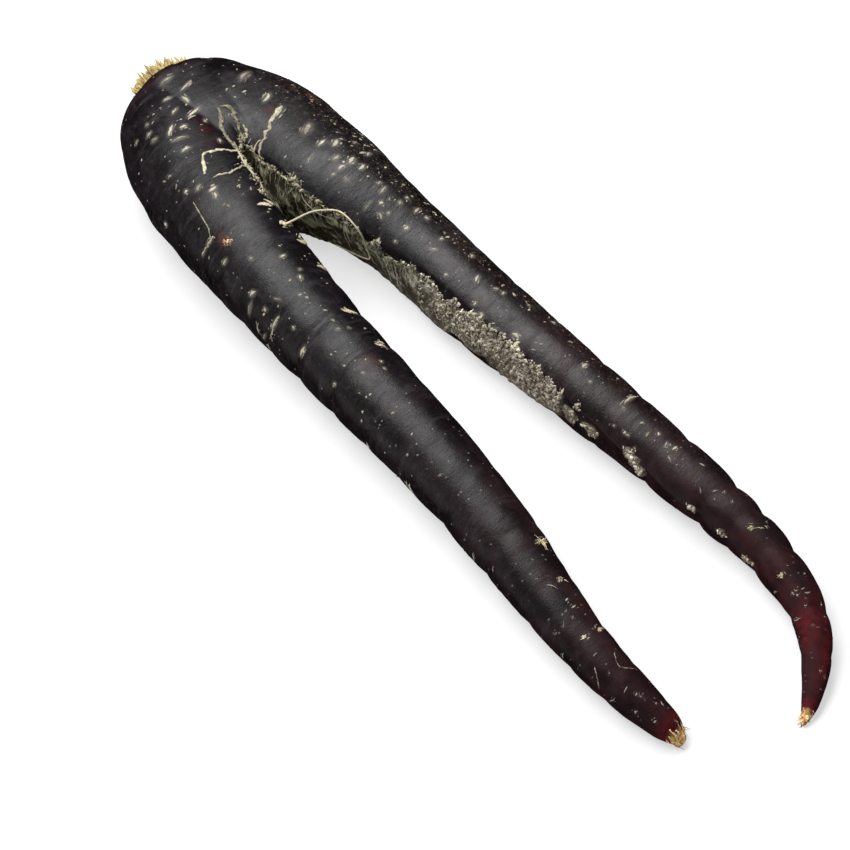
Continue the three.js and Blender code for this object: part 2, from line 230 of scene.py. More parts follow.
class Side:
    """One lobe of the shoulder with the leg that follows it. sign is 1 on the long side
    and -1 on the short side."""

    def __init__(self, sign, leg, rings, swells, lean, hollow, edge):
        shoulder = [(x, sign * y, CROWN_AXIS, a, b, y / a if a else 0) for x, y, a, b in SHOULDER]
        tail = [(x, y, b - PRESS, a, b, flat) for x, y, a, b, flat in leg]
        self.sign = sign
        self.rows = np.array(shoulder + tail, float)
        self.places = walk(np.linalg.norm(np.diff(self.rows[:, [0, 1, 3]], axis=0), axis=1))
        self.crotch = self.places[len(SHOULDER) - 1]
        self.length = self.places[-1]
        self.rings, self.swells = rings, swells
        self.lean, self.hollow, self.edge = [np.array(t, float).T for t in (lean, hollow, edge)]

    def section(self, at):
        """The ellipse that the skin follows at a station, where its flat inner face lies,
        the angle at which the face starts to lean back, and the direction inwards. Past
        the last station the ellipse shrinks as a half circle does, to round off the tip."""
        at = np.asarray(at, float)
        past = np.clip((at - self.length) / NOSE, 0, 1)
        at = np.minimum(at, self.length)
        x, y, z, wide, high, share = np.moveaxis(through(self.places, self.rows, at), -1, 0)
        ahead = through(self.places, self.rows, np.minimum(at + LOOK, self.length))
        behind = through(self.places, self.rows, np.maximum(at - LOOK, 0))
        direction = np.arctan2(ahead[..., 1] - behind[..., 1], ahead[..., 0] - behind[..., 0])
        turn = smoothstep(at, self.crotch, self.crotch + TURN_IN) * direction
        joined = at <= self.crotch
        flat = np.where(joined, np.abs(y), np.minimum(share, 1) * wide)
        corner = np.arccos(np.clip(flat / np.maximum(wide, 1e-6), 0, 1))
        bottom = np.where(joined, corner, np.maximum(corner, NARROWEST_FACE))
        crotch_x, offset, wide0, high0 = SHOULDER[-1]
        depth = CLEFT_DEPTH * smoothstep(x, CLEFT_START, crotch_x)
        sunk = np.arcsin(np.clip(np.sin(corner) - depth / np.maximum(high, 0.1), -1, 1))
        sunk = mix(corner, sunk, smoothstep(at, SLIT_OPENS, SLIT_OPEN))
        foot0 = np.arcsin(np.sin(np.arccos(offset / wide0)) - CLEFT_DEPTH / high0)
        level = foot0 * (1 - smoothstep(at, self.crotch, self.crotch + CLEFT_FADE))
        shrink = np.sqrt(1 - past ** 2)
        return SimpleNamespace(
            x=x + NOSE * past * np.cos(turn),
            y=y + NOSE * past * np.sin(turn),
            z=z,
            wide=wide * shrink,
            high=high * shrink,
            flat=flat * shrink,
            bottom=bottom,
            foot=np.where(at < self.crotch, sunk, level),
            lean=np.interp(at, *self.lean),
            hollow=np.interp(at, *self.hollow),
            inward=np.stack([self.sign * np.sin(turn), -self.sign * np.cos(turn)], -1),
        )

    def bare(self, at, angle):
        """A point of the plain form: the ellipse, or the flat face where that is nearer
        to the middle. Returns the point, the same place with the leg straightened out,
        and how far the place is inside the scar: how deep the face cuts into the ellipse
        there, or the distance to the scar's upper edge where that is less."""
        s = self.section(at)
        height = s.high * np.sin(angle)
        face = s.flat - s.lean * np.maximum(height - s.high * np.sin(s.foot), 0)
        face = face - s.hollow * np.maximum(HOLLOW_TOP - height, 0)
        free = s.wide * np.cos(angle)
        reach = np.minimum(free, face)
        across = self.sign * (np.abs(s.y) - reach)
        straight = np.stack(np.broadcast_arrays(at, across, height), -1)
        point = np.stack([
            s.x + reach * s.inward[..., 0],
            MIDDLE_Y + s.y + reach * s.inward[..., 1],
            s.z + height,
        ], -1)
        point[..., 2] += self.fillet(s, at, reach, height)
        edge = np.interp(at, self.edge[0], np.radians(self.edge[1]))
        below = s.high * (edge - np.where(angle > np.pi, angle - 2 * np.pi, angle))
        return point, straight, np.minimum(free - face, below)

    def fillet(self, s, at, reach, height):
        """What fills the crease between the two lobes: where their heights differ by less
        than FILLET, the higher one gains (FILLET - difference)^2 / (4 FILLET). It comes in
        over the shoulder, ends where the split opens, and leaves out the flat middle."""
        beyond = (2 * np.abs(s.y) - reach) / np.maximum(s.wide, 1e-6)
        other = s.high * np.sqrt(np.clip(1 - beyond ** 2, 0, 1))
        close = np.clip(1 - (np.abs(height) - other) / FILLET, 0, 1) ** 2 * (beyond < 1)
        above = 1 - smoothstep(at, 40, SLIT_OPEN)
        below = 1 - smoothstep(at, 48, self.crotch)
        side = np.where(height > 0, above, -below) * smoothstep(at, 9, 18)
        return 0.25 * FILLET * close * side * (np.abs(height) > 0.2 * s.high)

    def outward(self, at, angle):
        """The direction straight out of the plain form: square to small steps along it
        and round it, and straight out of the crown where those steps vanish."""
        step = 0.05
        along = self.bare(at + step, angle)[0] - self.bare(np.maximum(at - step, 0), angle)[0]
        turn = step / 8
        round_it = self.bare(at, angle + turn)[0] - self.bare(at, angle - turn)[0]
        cross = self.sign * np.cross(along, round_it)
        flat = np.linalg.norm(cross, axis=-1, keepdims=True) < 1e-9
        return np.where(flat, [-1.0, 0, 0], unit(cross))

    def drawn_in(self, at, angle, straight):
        """Depth of the rings: each is a sharp crease that falls off as a stretched
        exponential, further on the crown's side, and it runs nearer to the crown on the
        inner side of the leg, waves, is deeper in some places than in others, and is
        shallow on top."""
        wave = 0.7 * noise(straight, (9, 6, 6), 31)
        uneven = 0.9 + 0.45 * noise(straight, (12, 7, 7), 32)
        total = 0
        for place, depth, reach, tilt in self.rings:
            away = at - place + tilt * np.cos(angle) + wave
            width = reach * np.where(away < 0, 1.2, 0.75)
            total = total + depth * hump(away, 0, width, 1.25)
        return total * uneven * (1 - 0.55 * hump(angle, 1.25, 0.8))

    def scar(self, cut, angle, straight):
        """1 on the healed face where the two legs tore apart and 0 on the skin, with an
        uneven edge."""
        at = straight[..., 0]
        edge = 0.35 * noise(straight, (1.6, 1.6, 1.6), 41) + 0.2 * noise(straight, 0.7, 42)
        start = smoothstep(at + 3 * noise(straight, 3.0, 43), 43, 49)
        end = 1 - smoothstep(at + 2 * noise(straight, 4.0, 44), *SCAR_ENDS)
        spread = 0.8 * self.crust(straight) * noise(straight, (5, 4, 4), 46)
        return smoothstep(cut + edge + spread, 0.02, 0.4) * start * end * (np.cos(angle) > 0)

    def patch(self, at, angle, straight):
        """1 on the patches of crust: ellipses on the skin with an uneven edge."""
        if self.sign < 0:
            return np.zeros(np.shape(at))
        radius = self.section(at).high
        uneven = 0.45 * noise(straight, 1.3, 47)
        total = np.zeros(np.shape(at))
        for place, turn, length, width in PATCHES:
            aside = round_the_leg(radius, angle, turn)
            away = np.hypot((at - place) / length, aside / width)
            total = np.maximum(total, 1 - smoothstep(away + uneven, 0.7, 1.1))
        return total

    def lip(self, at):
        """The angle at which the upper edge of the scar's flat face lies."""
        angles = np.radians(np.linspace(2, 80, 79))
        cut = self.bare(np.asarray(at)[..., None], angles)[2]
        return angles[np.maximum((cut > 0.02).sum(-1) - 1, 0)]

    def crust(self, straight):
        """How far the scar is a crumbly crust and not a smooth wall: only on the long
        side, past the place where the two faces stop being sheltered by each other."""
        at = straight[..., 0] + 5 * noise(straight, 6.0, 45)
        return smoothstep(at, 100, 116) * (self.sign > 0)

    def point(self, at, angle, lift=0.0, full=False):
        """A point of the finished skin: the plain form moved outwards by its lumps, rings,
        wrinkles, swells, scar and lips, and by lift. It stays on or above the floor and
        between RIGHT and LEFT. What would rise by d above HIGH rises by
        ROOM (1 - exp(-d / ROOM)) instead."""
        bare, straight, cut = self.bare(at, angle)
        patch = self.patch(at, angle, straight)
        scar = np.maximum(self.scar(cut, angle, straight), patch)
        crust = np.maximum(self.crust(straight), patch)
        skin = (
            0.2 * noise(straight, (8, 13, 13), 1)
            + 0.1 * noise(straight, (3.4, 8, 8), 2)
            + 0.045 * noise(straight, (1.3, 6, 6), 3)
            - 0.08
            - self.drawn_in(at, angle, straight)
        )
        wall = (
            0.14 * noise(straight, (1.1, 7, 7), 4)
            + 0.12 * noise(straight, 1.5, 5)
            + 0.2 * noise(straight, (4, 3, 3), 6)
            - 0.1
        )
        grains = 0.34 * noise(straight, 1.0, 7) + 0.22 * noise(straight, 2.1, 8)
        height = mix(skin, mix(wall, grains, crust), scar)
        lip = hump(cut, 0.1, 0.5) * (np.sin(angle) > 0) * (np.cos(angle) > 0)
        lip *= smoothstep(at, 44, 52) * (1 - smoothstep(at, *SCAR_ENDS))
        ragged = np.clip(0.45 + 0.8 * noise(straight, (1.5, 1.2, 1.2), 9), 0, 1.2)
        height = height + 0.45 * lip * ragged
        height = height + 0.35 * (1 - smoothstep(at, 6, 10)) * noise(straight, 1.2, 10)
        for place, half, power, rise, turn in self.swells:
            height = height + rise * hump(at, place, half, power) * np.sin(angle - turn).clip(0)
        moved = bare + self.outward(at, angle) * (height + lift)[..., None]
        over = np.clip(moved[..., 2] - HIGH, 0, None)
        moved[..., 2] += ROOM * (1 - np.exp(-over / ROOM)) - over
        moved[..., 1:] = moved[..., 1:].clip((RIGHT, 0), (LEFT, HIGH + ROOM))
        if not full:
            return moved
        return moved, bare, straight, scar, crust, lip * ragged


SIDES = {
    1: Side(1, LONG_LEG, LONG_RINGS, LONG_SWELLS, LONG_LEAN, LONG_HOLLOW, LONG_EDGE),
    -1: Side(-1, SHORT_LEG, SHORT_RINGS, SHORT_SWELLS, SHORT_LEAN, SHORT_HOLLOW, SHORT_EDGE),
}


# ---- making pieces ---------------------------------------------------------------------


def add(name, data):
    """A new object in the scene."""
    thing = bpy.data.objects.new(name, data)
    bpy.context.scene.collection.objects.link(thing)
    return thing


def piece(name, vertices, faces, finish, replaces, attributes):
    """A mesh object from points in millimetres and faces, that rides on the root body. An
    attribute has one or three numbers for each point."""
    mesh = bpy.data.meshes.new(name)
    mesh.from_pydata((vertices.reshape(-1, 3) * MM).tolist(), [], faces)
    mesh.polygons.foreach_set("use_smooth", np.ones(len(mesh.polygons), bool))
    for key, values in attributes.items():
        vector = values.size > len(mesh.vertices)
        layer = mesh.attributes.new(key, "FLOAT_VECTOR" if vector else "FLOAT", "POINT")
        layer.data.foreach_set("vector" if vector else "value", values.astype(np.float32).ravel())
    mesh.materials.append(finish.material)
    mesh.update()
    thing = add(name, mesh)
    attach(thing, "root")
    if replaces:
        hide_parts(replaces)
    return thing


def dry_piece(name, vertices, faces, finish, tone, replaces=None):
    """A piece of cork or fibre, with its tone from dark, 0, to pale, 1, point by point."""
    return piece(name, vertices, faces, finish, replaces, {"tone": tone.clip(0, 1)})


def tubes(paths, ups, widths, thicknesses, sides):
    """Closed flattened tubes, one along each path: round each of its points stands an
    ellipse, square to the path, with its thickness measured along up. Each end is closed
    by a flat cap. Returns the points, as paths by points by sides, and the faces."""
    along = unit(np.gradient(paths, axis=1))
    across = unit(np.cross(along, ups))
    up = np.cross(across, along)
    turn = 2 * np.pi * np.arange(sides) / sides
    reach = across[:, :, None] * np.cos(turn)[:, None] * 0.5 * widths[..., None, None]
    rise = up[:, :, None] * np.sin(turn)[:, None] * 0.5 * thicknesses[..., None, None]
    vertices = paths[:, :, None] + reach + rise
    count, rows = paths.shape[:2]
    return vertices, tube_faces(count, rows, sides)


def tube_faces(count, rows, sides):
    """The faces of closed tubes whose points are numbered by tube, row and side."""
    number = np.arange(count * rows * sides).reshape(count, rows, sides)
    after = np.roll(number, -1, axis=2)
    quads = np.stack([number[:, :-1], number[:, 1:], after[:, 1:], after[:, :-1]], -1)
    caps = np.concatenate([number[:, 0], number[:, -1, ::-1]])
    return quads.reshape(-1, 4).tolist() + caps.tolist()


# ---- finishes --------------------------------------------------------------------------


def operator(name, swapped=False):
    """A method that adds a Math node for a value and another number or value."""
    def method(self, other):
        return self.finish.math(name, *((other, self) if swapped else (self, other)))

    return method


class Value:
    """A number on a socket. An expression on values adds its Math nodes."""

    __add__ = __radd__ = operator("ADD")
    __mul__ = __rmul__ = operator("MULTIPLY")
    __sub__, __rsub__ = operator("SUBTRACT"), operator("SUBTRACT", swapped=True)
    __gt__ = operator("GREATER_THAN")

    def __init__(self, finish, socket):
        self.finish, self.socket = finish, socket

    def clamped(self):
        return self.finish.math("ADD", self, 0.0, clamp=True)

    def between(self, start, end):
        """0 below start, 1 above end, and a smooth step in between."""
        inputs = {"Value": self, "From Min": start, "From Max": end}
        node = self.finish.node("MapRange", inputs, interpolation_type="SMOOTHSTEP")
        return Value(self.finish, node.outputs[0])


class Finish:
    """A material or a world, and the one way in which nodes are added to it."""

    def __init__(self, name, owner=None):
        self.material = owner or bpy.data.materials.new(name)
        self.material.use_nodes = True
        self.tree = self.material.node_tree
        self.tree.nodes.clear()

    def node(self, kind, inputs=(), **settings):
        """Adds a node, makes its settings, then fills its sockets with values or links.
        inputs is a list in the sockets' order or a dict by their names."""
        node = self.tree.nodes.new("ShaderNode" + kind)
        for key, value in settings.items():
            setattr(node, key, value)
        free = [s for s in node.inputs if not s.is_unavailable]
        named = inputs.items() if isinstance(inputs, dict) else enumerate(inputs)
        for key, value in named:
            socket = free[key] if isinstance(key, int) else next(s for s in free if s.name == key)
            source = value.socket if isinstance(value, Value) else value
            if isinstance(source, bpy.types.NodeSocket):
                self.tree.links.new(source, socket)
            else:
                socket.default_value = source
        return node

    def math(self, operation, *numbers, clamp=False):
        node = self.node("Math", numbers, operation=operation, use_clamp=clamp)
        return Value(self, node.outputs[0])

    def mix(self, share, a, b):
        """Colour a where share is 0 and b where it is 1."""
        a, b = [(*c, 1) if isinstance(c, tuple) else c for c in (a, b)]
        inputs = {"Factor": share, "A": a, "B": b}
        node = self.node("Mix", inputs, data_type="RGBA", clamp_factor=True)
        return next(s for s in node.outputs if not s.is_unavailable)

    def stretch(self, vector, factors):
        """The vector with each of its parts multiplied."""
        return self.node("VectorMath", [vector, factors], operation="MULTIPLY").outputs[0]

    def attribute(self, name, vector=False):
        node = self.node("Attribute", attribute_name=name)
        return node.outputs["Vector"] if vector else Value(self, node.outputs["Fac"])

    def grain(self, vector, scale, detail=3.0, roughness=0.6):
        """Cloudy noise, mostly from 0.3 to 0.7. The scale is one number, or one for each
        direction."""
        if isinstance(scale, tuple):
            vector, scale = self.stretch(vector, scale), 1.0
        inputs = {"Vector": vector, "Scale": scale, "Detail": detail, "Roughness": roughness}
        return Value(self, self.node("TexNoise", inputs).outputs[0])

    def cells(self, vector, scale):
        """Cells of random size: the distance to a cell's centre and its random number."""
        inputs = {"Vector": vector, "Scale": scale, "Randomness": 1.0}
        node = self.node("TexVoronoi", inputs)
        number = self.node("SeparateColor", [node.outputs["Color"]])
        return Value(self, node.outputs["Distance"]), Value(self, number.outputs[0])

    def bump(self, height, depth, normal=None):
        """A normal that shows height, from 0 to 1, as relief of a depth in millimetres."""
        inputs = {"Strength": 1.0, "Distance": depth * MM, "Height": height}
        if normal:
            inputs["Normal"] = normal
        return self.node("Bump", inputs).outputs[0]

    def surface(self, rim=None, dull=0.0, **inputs):
        """Ends the material in a Principled shader, whose sockets go by their names with _
        for a space. With a rim the gloss fades out between its two numbers, from 0 where
        the surface faces the eye to 1 where it is seen edge on, and dull is a share of
        the gloss that goes everywhere."""
        inputs = {key.replace("_", " "): value for key, value in inputs.items()}
        shader = self.node("BsdfPrincipled", inputs)
        if rim:
            facing = Value(self, self.node("LayerWeight").outputs["Facing"])
            matte = self.node("BsdfPrincipled", inputs | {"Specular IOR Level": 0.0})
            share = 1 - (1 - facing.between(*rim)) * (1 - dull)
            both = [share, shader.outputs[0], matte.outputs[0]]
            shader = self.node("MixShader", both)
        self.node("OutputMaterial", [shader.outputs[0]])
        return self


def skin_finish():
    """Black-violet skin with a dull bloom, fine wrinkles and pale pores, reddish towards
    the tips, and on the scar a grey-brown wall or a crumbly crust."""
    f = Finish("black carrot skin")
    place = f.attribute("straight", vector=True)
    names = "scar", "crust", "ruddy", "tan", "lip", "earthy"
    scar, crust, ruddy, tan, lip, earthy = [f.attribute(name) for name in names]

    cloud = f.grain(place, (0.10, 0.14, 0.14), 4.0, 0.6)
    fine = f.grain(place, (0.9, 0.5, 0.5))
    wrinkle = f.grain(place, (2.4, 0.35, 0.35))
    black, violet = (0.0040, 0.0033, 0.0040), (0.0095, 0.0074, 0.0090)
    colour = f.mix(cloud.between(0.35, 0.65), black, violet)
    colour = f.mix(wrinkle.between(0.55, 0.75) * 0.3, colour, (0.028, 0.026, 0.027))
    scuff = f.grain(place, (0.45, 0.07, 0.07), 4.0, 0.65).between(0.54, 0.68)
    dust = f.grain(place, 0.3, 5.0, 0.7).between(0.5, 0.72)
    colour = f.mix((scuff * 0.3 + dust * 0.35).clamped(), colour, (0.042, 0.039, 0.042))

    # brown and pale specks of dry soil on the upper outer side
    speck = f.grain(place, (0.8, 1.1, 1.1), 4.0, 0.7)
    dirt = speck.between(0.54, 0.64) * earthy
    colour = f.mix(dirt * 0.7, colour, (0.05, 0.036, 0.018))
    sand = f.grain(place, (1.4, 1.6, 1.6), 4.0, 0.7).between(0.6, 0.68) * earthy
    colour = f.mix(sand * 0.7, colour, (0.24, 0.21, 0.14))

    # reddish flesh that shows through the thin skin towards the tips
    deep = f.mix(cloud.between(0.4, 0.6), (0.012, 0.0060, 0.0068), (0.027, 0.0112, 0.0122))
    colour = f.mix((ruddy * 1.4).clamped(), colour, deep)
    red_patch = f.grain(place, (0.16, 0.3, 0.3)).between(0.45, 0.6)
    colour = f.mix(ruddy.between(0.6, 0.9) * red_patch * 0.2, colour, (0.085, 0.010, 0.011))

    # pores: pale dots, each in a random few of the cells
    distance, number = f.cells(f.stretch(place, (1.0, 0.8, 0.8)), 0.8)
    pore = (1 - distance.between(0.10, 0.22)) * (number > (0.88 - 0.22 * ruddy))
    pale = f.mix(ruddy * 1.5, (0.33, 0.31, 0.26), (0.19, 0.13, 0.135))
    colour = f.mix(pore * 0.4, colour, pale)

    # rust-brown and wine-red stains
    stain = (fine + 0.4 * speck).between(0.55, 0.8)
    colour = f.mix(f.attribute("rusty") * (0.35 + 0.65 * stain), colour, (0.10, 0.042, 0.02))
    colour = f.mix(f.attribute("wine") * (0.4 + 0.6 * stain), colour, (0.085, 0.010, 0.013))

    # bleached skin round the healed cracks
    worn = (f.attribute("bloom") * (0.4 + 1.2 * fine)).between(0.15, 0.95)
    faded = f.mix(ruddy * 1.6, (0.17, 0.155, 0.125), (0.14, 0.10, 0.10))
    colour = f.mix(worn * 0.7, colour, faded)

    # the scar: a wall with streaks across it, or grains of cork
    streak = f.grain(place, (0.7, 0.22, 0.22), 5.0, 0.7)
    blotch = f.grain(place, (0.32, 0.36, 0.36))
    lower = Value(f, f.node("SeparateXYZ", [place]).outputs["X"]).between(76, 94)
    dark = f.mix(lower, (0.045, 0.045, 0.024), (0.11, 0.098, 0.075))
    light = f.mix(lower, (0.80, 0.77, 0.52), (0.74, 0.69, 0.57))
    wall = f.mix((0.45 * streak + 0.55 * blotch).between(0.39, 0.52), light, dark)
    wall = f.mix(speck.between(0.54, 0.68) * 0.4, wall, (0.85, 0.82, 0.66))
    gap, tone = f.cells(place, 1.5)
    cork = f.mix(tone.between(0.2, 1.0), (0.30, 0.26, 0.20), (0.72, 0.66, 0.54))
    cork = f.mix(gap.between(0.35, 0.75), cork, (0.14, 0.115, 0.082))
    cork = f.mix(blotch.between(0.46, 0.62) * 0.7, cork, (0.24, 0.18, 0.14))
    wall = f.mix(crust, wall, cork)
    # Painted shade: the scar darkens towards dark brown by the shade attribute, which holds random
    # dark clouds and painted shade low down and in the fork.
    wall = f.mix(f.attribute("shade"), wall, (0.045, 0.036, 0.026))
    colour = f.mix(scar, colour, wall)
    colour = f.mix(lip.between(0.35, 0.9) * fine.between(0.35, 0.6), colour, (0.42, 0.38, 0.27))
    flesh = f.mix(speck.between(0.35, 0.65), (0.30, 0.11, 0.02), (0.95, 0.66, 0.30))
    colour = f.mix(tan, colour, flesh)

    rough = 0.27 + 0.14 * fine + 0.08 * cloud + 0.14 * (scuff + dust) + 0.2 * dirt
    rough = rough + 0.12 * ruddy.between(0.3, 0.9) + 0.45 * scar + 0.35 * tan
    rough = f.math("MINIMUM", rough, 0.92)
    pebble = f.grain(place, 2.6)
    normal = f.bump(wrinkle, 0.06)
    normal = f.bump(f.grain(place, (0.6, 0.4, 0.4), 2.0, 0.5), 0.11, normal)
    normal = f.bump(pebble * (0.2 + 0.8 * scar), 0.35, normal)
    look = {"Base_Color": colour, "Roughness": rough, "Normal": normal, "IOR": 1.33}
    return f.surface((0.15, 0.5), f.attribute("dull"), **look)


def dry_finish(name, dark, pale, size=1.0):
    """Dry cork or fibre: its tone attribute picks a colour from dark to pale, broken up
    by a fine grain, which is coarser by the given size."""
    f = Finish(name)
    place = f.node("TexCoord").outputs["Object"]
    fleck = f.grain(place, 1100.0 / size)
    tone = (f.attribute("tone") + 0.9 * (fleck - 0.5)).clamped()
    colour = f.mix(tone, dark, pale)
    normal = f.bump(fleck, 0.12)
    return f.surface(Base_Color=colour, Roughness=0.85, Normal=normal)


# ---- the root --------------------------------------------------------------------------


def stations(side):
    """Stations of the rows of one side: over the shoulder, along the scar, down the leg
    and round the tip."""
    def even(start, end, step):
        return np.linspace(start, end, max(round((end - start) / step), 1), endpoint=False)

    return np.concatenate([
        even(0, side.crotch, SHOULDER_STEP),
        even(side.crotch, FINE_END, SCAR_STEP),
        even(FINE_END, side.length, LEG_STEP),
        side.length + NOSE * np.sin(np.linspace(0, np.pi / 2, NOSE_ROWS + 1)),
    ])


# Stains: side, station, angle, half length, half width, strength of rust and of wine red
STAINS = [
    (1, 46, 127, 2.2, 1.2, .7, 0), (1, 41, 119, 1.4, .8, .5, 0), (-1, 41, 73, 2, 1.6, 0, .32),
    (-1, 46, 76, 1.2, 1.4, 0, .28), (-1, 37, 74, 1, 1, 0, .25), (1, 45, 82, 1.4, 1, .1, .4),
    (-1, 72, 128, 2, 1.4, .4, .1), (-1, 121, 88, 3, 2, 0, .3), (1, 207, 2, 2.2, .8, 1, 0),
    (1, 228.5, 62, 3.6, 3, 0, 1), (1, 231, 88, 3, 1.6, 0, .6), (1, 233, 42, 3, 1.6, 0, .6),
    (1, 236, 128, 9, 1.5, 0, .9),
]


def stains(side, at, angle, straight):
    """How rusty and how wine red the skin is: soft ellipses, rust round the crown, and
    wine red at the tip."""
    uneven = 1 + 0.5 * noise(straight, (2.5, 2.5, 2.5), 54)
    rusty = 0.9 * hump(at, 9.5, 2.2) * uneven
    wine = 0.1 * hump(at, 14, 4) * uneven
    radius = side.section(at).high
    for sign, place, turn, length, width, rust, red in STAINS:
        if sign == side.sign:
            aside = round_the_leg(radius, angle, turn)
            spot = np.exp(-((at - place) / length) ** 2 - (aside / width) ** 2) * uneven
            rusty, wine = np.maximum(rusty, rust * spot), np.maximum(wine, red * spot)
    wine = np.maximum(wine, 1.4 * smoothstep(at, side.length - 6, side.length - 2))
    return rusty.clip(0, 1), wine.clip(0, 1)


def scar_clouds_and_painted_shade(straight, angle):
    """How dark the scar is, from 0 to 1: random dark clouds of its own tone, and painted shade
    that grows low down on the face and deep in the fork.
    """
    above = np.degrees(np.arctan2(np.sin(angle), np.cos(angle)))
    # Painted shade: darker low on the face, and deep in the fork where the two faces shelter each
    # other.
    low = 1 - smoothstep(above, -20, 28)
    inner = 1 - smoothstep(straight[..., 0], 98, 112)
    return (0.15 + 0.4 * low + 0.12 * inner + 0.45 * noise(straight, 4.5, 56)).clip(0, 0.85)


# How reddish and how matt the skin is along each side: stations, and the values there
RUDDY = {
    1: ([90, 120, 150, 185, 205, 225], [0, 0.22, 0.42, 0.6, 0.7, 0.85]),
    -1: ([115, 150, 190, 215], [0, 0.2, 0.5, 0.6]),
}
DULL = {
    1: ([0, 50, 110, 145, 165, 185, 205, 225], [0, 0.05, 0, 0.05, 0.2, 0.35, 0.7, 0.95]),
    -1: ([40, 55, 130, 170, 200, 215], [0, 0.12, 0.2, 0.45, 0.6, 0.9]),
}


def side_skin(side):
    """The grid of one side: rows by columns, of which the first columns go from the foot
    of the face over the top and round the outside to the lower edge of the inner face,
    and the others back up that face, which the joined lobes don't have. Each side fills
    its own half of the UV square. Returns the finished points, those of the plain form,
    the attributes, the quads and their UV corners."""
    at = stations(side)
    s = side.section(at)
    outer = np.linspace(0, 1, OUTER_COLUMNS + 1)
    inner = np.linspace(0, 1, INNER_COLUMNS + 1)[1:-1]
    foot, bottom = s.foot[:, None], s.bottom[:, None]
    angle = np.concatenate([
        foot + (2 * np.pi - bottom - foot) * outer,
        -bottom + (bottom + foot) * inner,
    ], axis=1)
    at_grid = np.broadcast_to(at[:, None], angle.shape)
    moved, bare, straight, scar, crust, lip = side.point(at_grid, angle, full=True)
    long_side = side.sign > 0
    ruddy = np.interp(at_grid + 6 * noise(straight, 6.0, 51), *RUDDY[side.sign])
    # Painted shade: the reddish tint is up to halved on the outer side of each leg, except near
    # the tips.
    outer_side_painted_shade = np.sin(angle - 1.2).clip(0)
    ruddy = ruddy * (1 - 0.5 * outer_side_painted_shade * (1 - smoothstep(at_grid, 195, 215)))
    outside = np.sin(angle - 0.9).clip(0) ** 1.5
    earthy = outside * smoothstep(at_grid, 20, 50) * (1 - smoothstep(at_grid, 165, 215))
    earthy = earthy * (1.0 if long_side else 0.15)
    tan = 1 - smoothstep(at_grid + 1.5 * noise(straight, 1.2, 52), 6.5, 9.5)
    from_tip = side.length - at_grid - 0.9 * noise(straight, 1.0, 53)
    tan = tan + 1 - smoothstep(from_tip, 0.6, 1.9)
    rusty, wine = stains(side, at_grid, angle, straight)
    values = {
        "straight": straight,
        "scar": scar,
        "crust": crust,
        "lip": lip,
        # shade: random dark clouds and painted shade on the scar, low down and in the fork
        "shade": scar_clouds_and_painted_shade(straight, angle),
        "ruddy": ruddy,
        "dull": np.interp(at_grid, *DULL[side.sign]),
        "earthy": earthy,
        "tan": tan.clip(0, 1),
        "rusty": rusty,
        "wine": wine,
        "bloom": bloom(side, at_grid, angle),
    }
    rows, columns = angle.shape
    number = np.arange(rows * columns).reshape(rows, columns)
    after = np.roll(number, -1, axis=1)
    quads = np.stack([number[:-1], number[1:], after[1:], after[:-1]], -1)
    keep = np.ones((rows - 1, columns), bool)
    keep[at[1:] <= side.crotch + 1e-9, OUTER_COLUMNS:] = False
    u = (0.01 if long_side else 0.51) + 0.48 * np.arange(columns + 1) / columns
    uv = np.stack(np.meshgrid(u, 0.005 + 0.99 * at / at[-1]), -1)
    corners = np.stack([uv[:-1, :-1], uv[1:, :-1], uv[1:, 1:], uv[:-1, 1:]], axis=2)
    quads, corners = quads[keep], corners[keep]
    if not long_side:
        quads, corners = quads[:, ::-1], corners[:, ::-1]
    flat = {key: np.asarray(value).reshape(rows * columns, -1) for key, value in values.items()}
    return moved.reshape(-1, 3), bare.reshape(-1, 3), flat, quads, corners


def root_mesh(finish):
    """Both sides as one closed skin: points of the plain form that coincide are made one,
    at the average of their finished places, and triangles that shrink to a line go. On
    the crown, points next to the middle plane are first moved onto it, so that the two
    lobes meet."""
    parts = [side_skin(side) for side in SIDES.values()]
    moved = np.concatenate([p[0] for p in parts])
    bare = np.concatenate([p[1] for p in parts])
    values = {key: np.concatenate([p[2][key] for p in parts]) for key in parts[0][2]}
    quads = np.concatenate([parts[0][3], parts[1][3] + len(parts[0][0])])
    corners = np.concatenate([p[4] for p in parts])
    triangles = np.concatenate([quads[:, [0, 1, 2]], quads[:, [0, 2, 3]]])
    uv = np.concatenate([corners[:, [0, 1, 2]], corners[:, [0, 2, 3]]])

    used = np.unique(triangles)
    place = bare[used]
    seam = (place[:, 0] < SEAM_END) & (np.abs(place[:, 1] - MIDDLE_Y) < SEAM)
    place[seam, 1] = MIDDLE_Y
    _, same = np.unique(np.round(place / MERGE).astype(int), axis=0, return_inverse=True)
    same = same.ravel()
    count = np.bincount(same)
    lookup = np.zeros(len(bare), int)
    lookup[used] = same
    triangles = lookup[triangles]

    def average(array):
        sums = [np.bincount(same, weights=array[used, k]) for k in range(array.shape[1])]
        return np.stack(sums, -1) / count[:, None]

    a, b, c = triangles.T
    whole = (a != b) & (b != c) & (c != a)
    triangles, uv = triangles[whole], uv[whole]
    attributes = {key: average(value) for key, value in values.items()}
    thing = piece("root_skin", average(moved), triangles.tolist(), finish,
                  "carrot_root", attributes)
    layer = thing.data.uv_layers.new(name="OFBake")
    layer.data.foreach_set("uv", uv.astype(np.float32).ravel())


# ---- pores, cracks and cords on the skin -----------------------------------------------

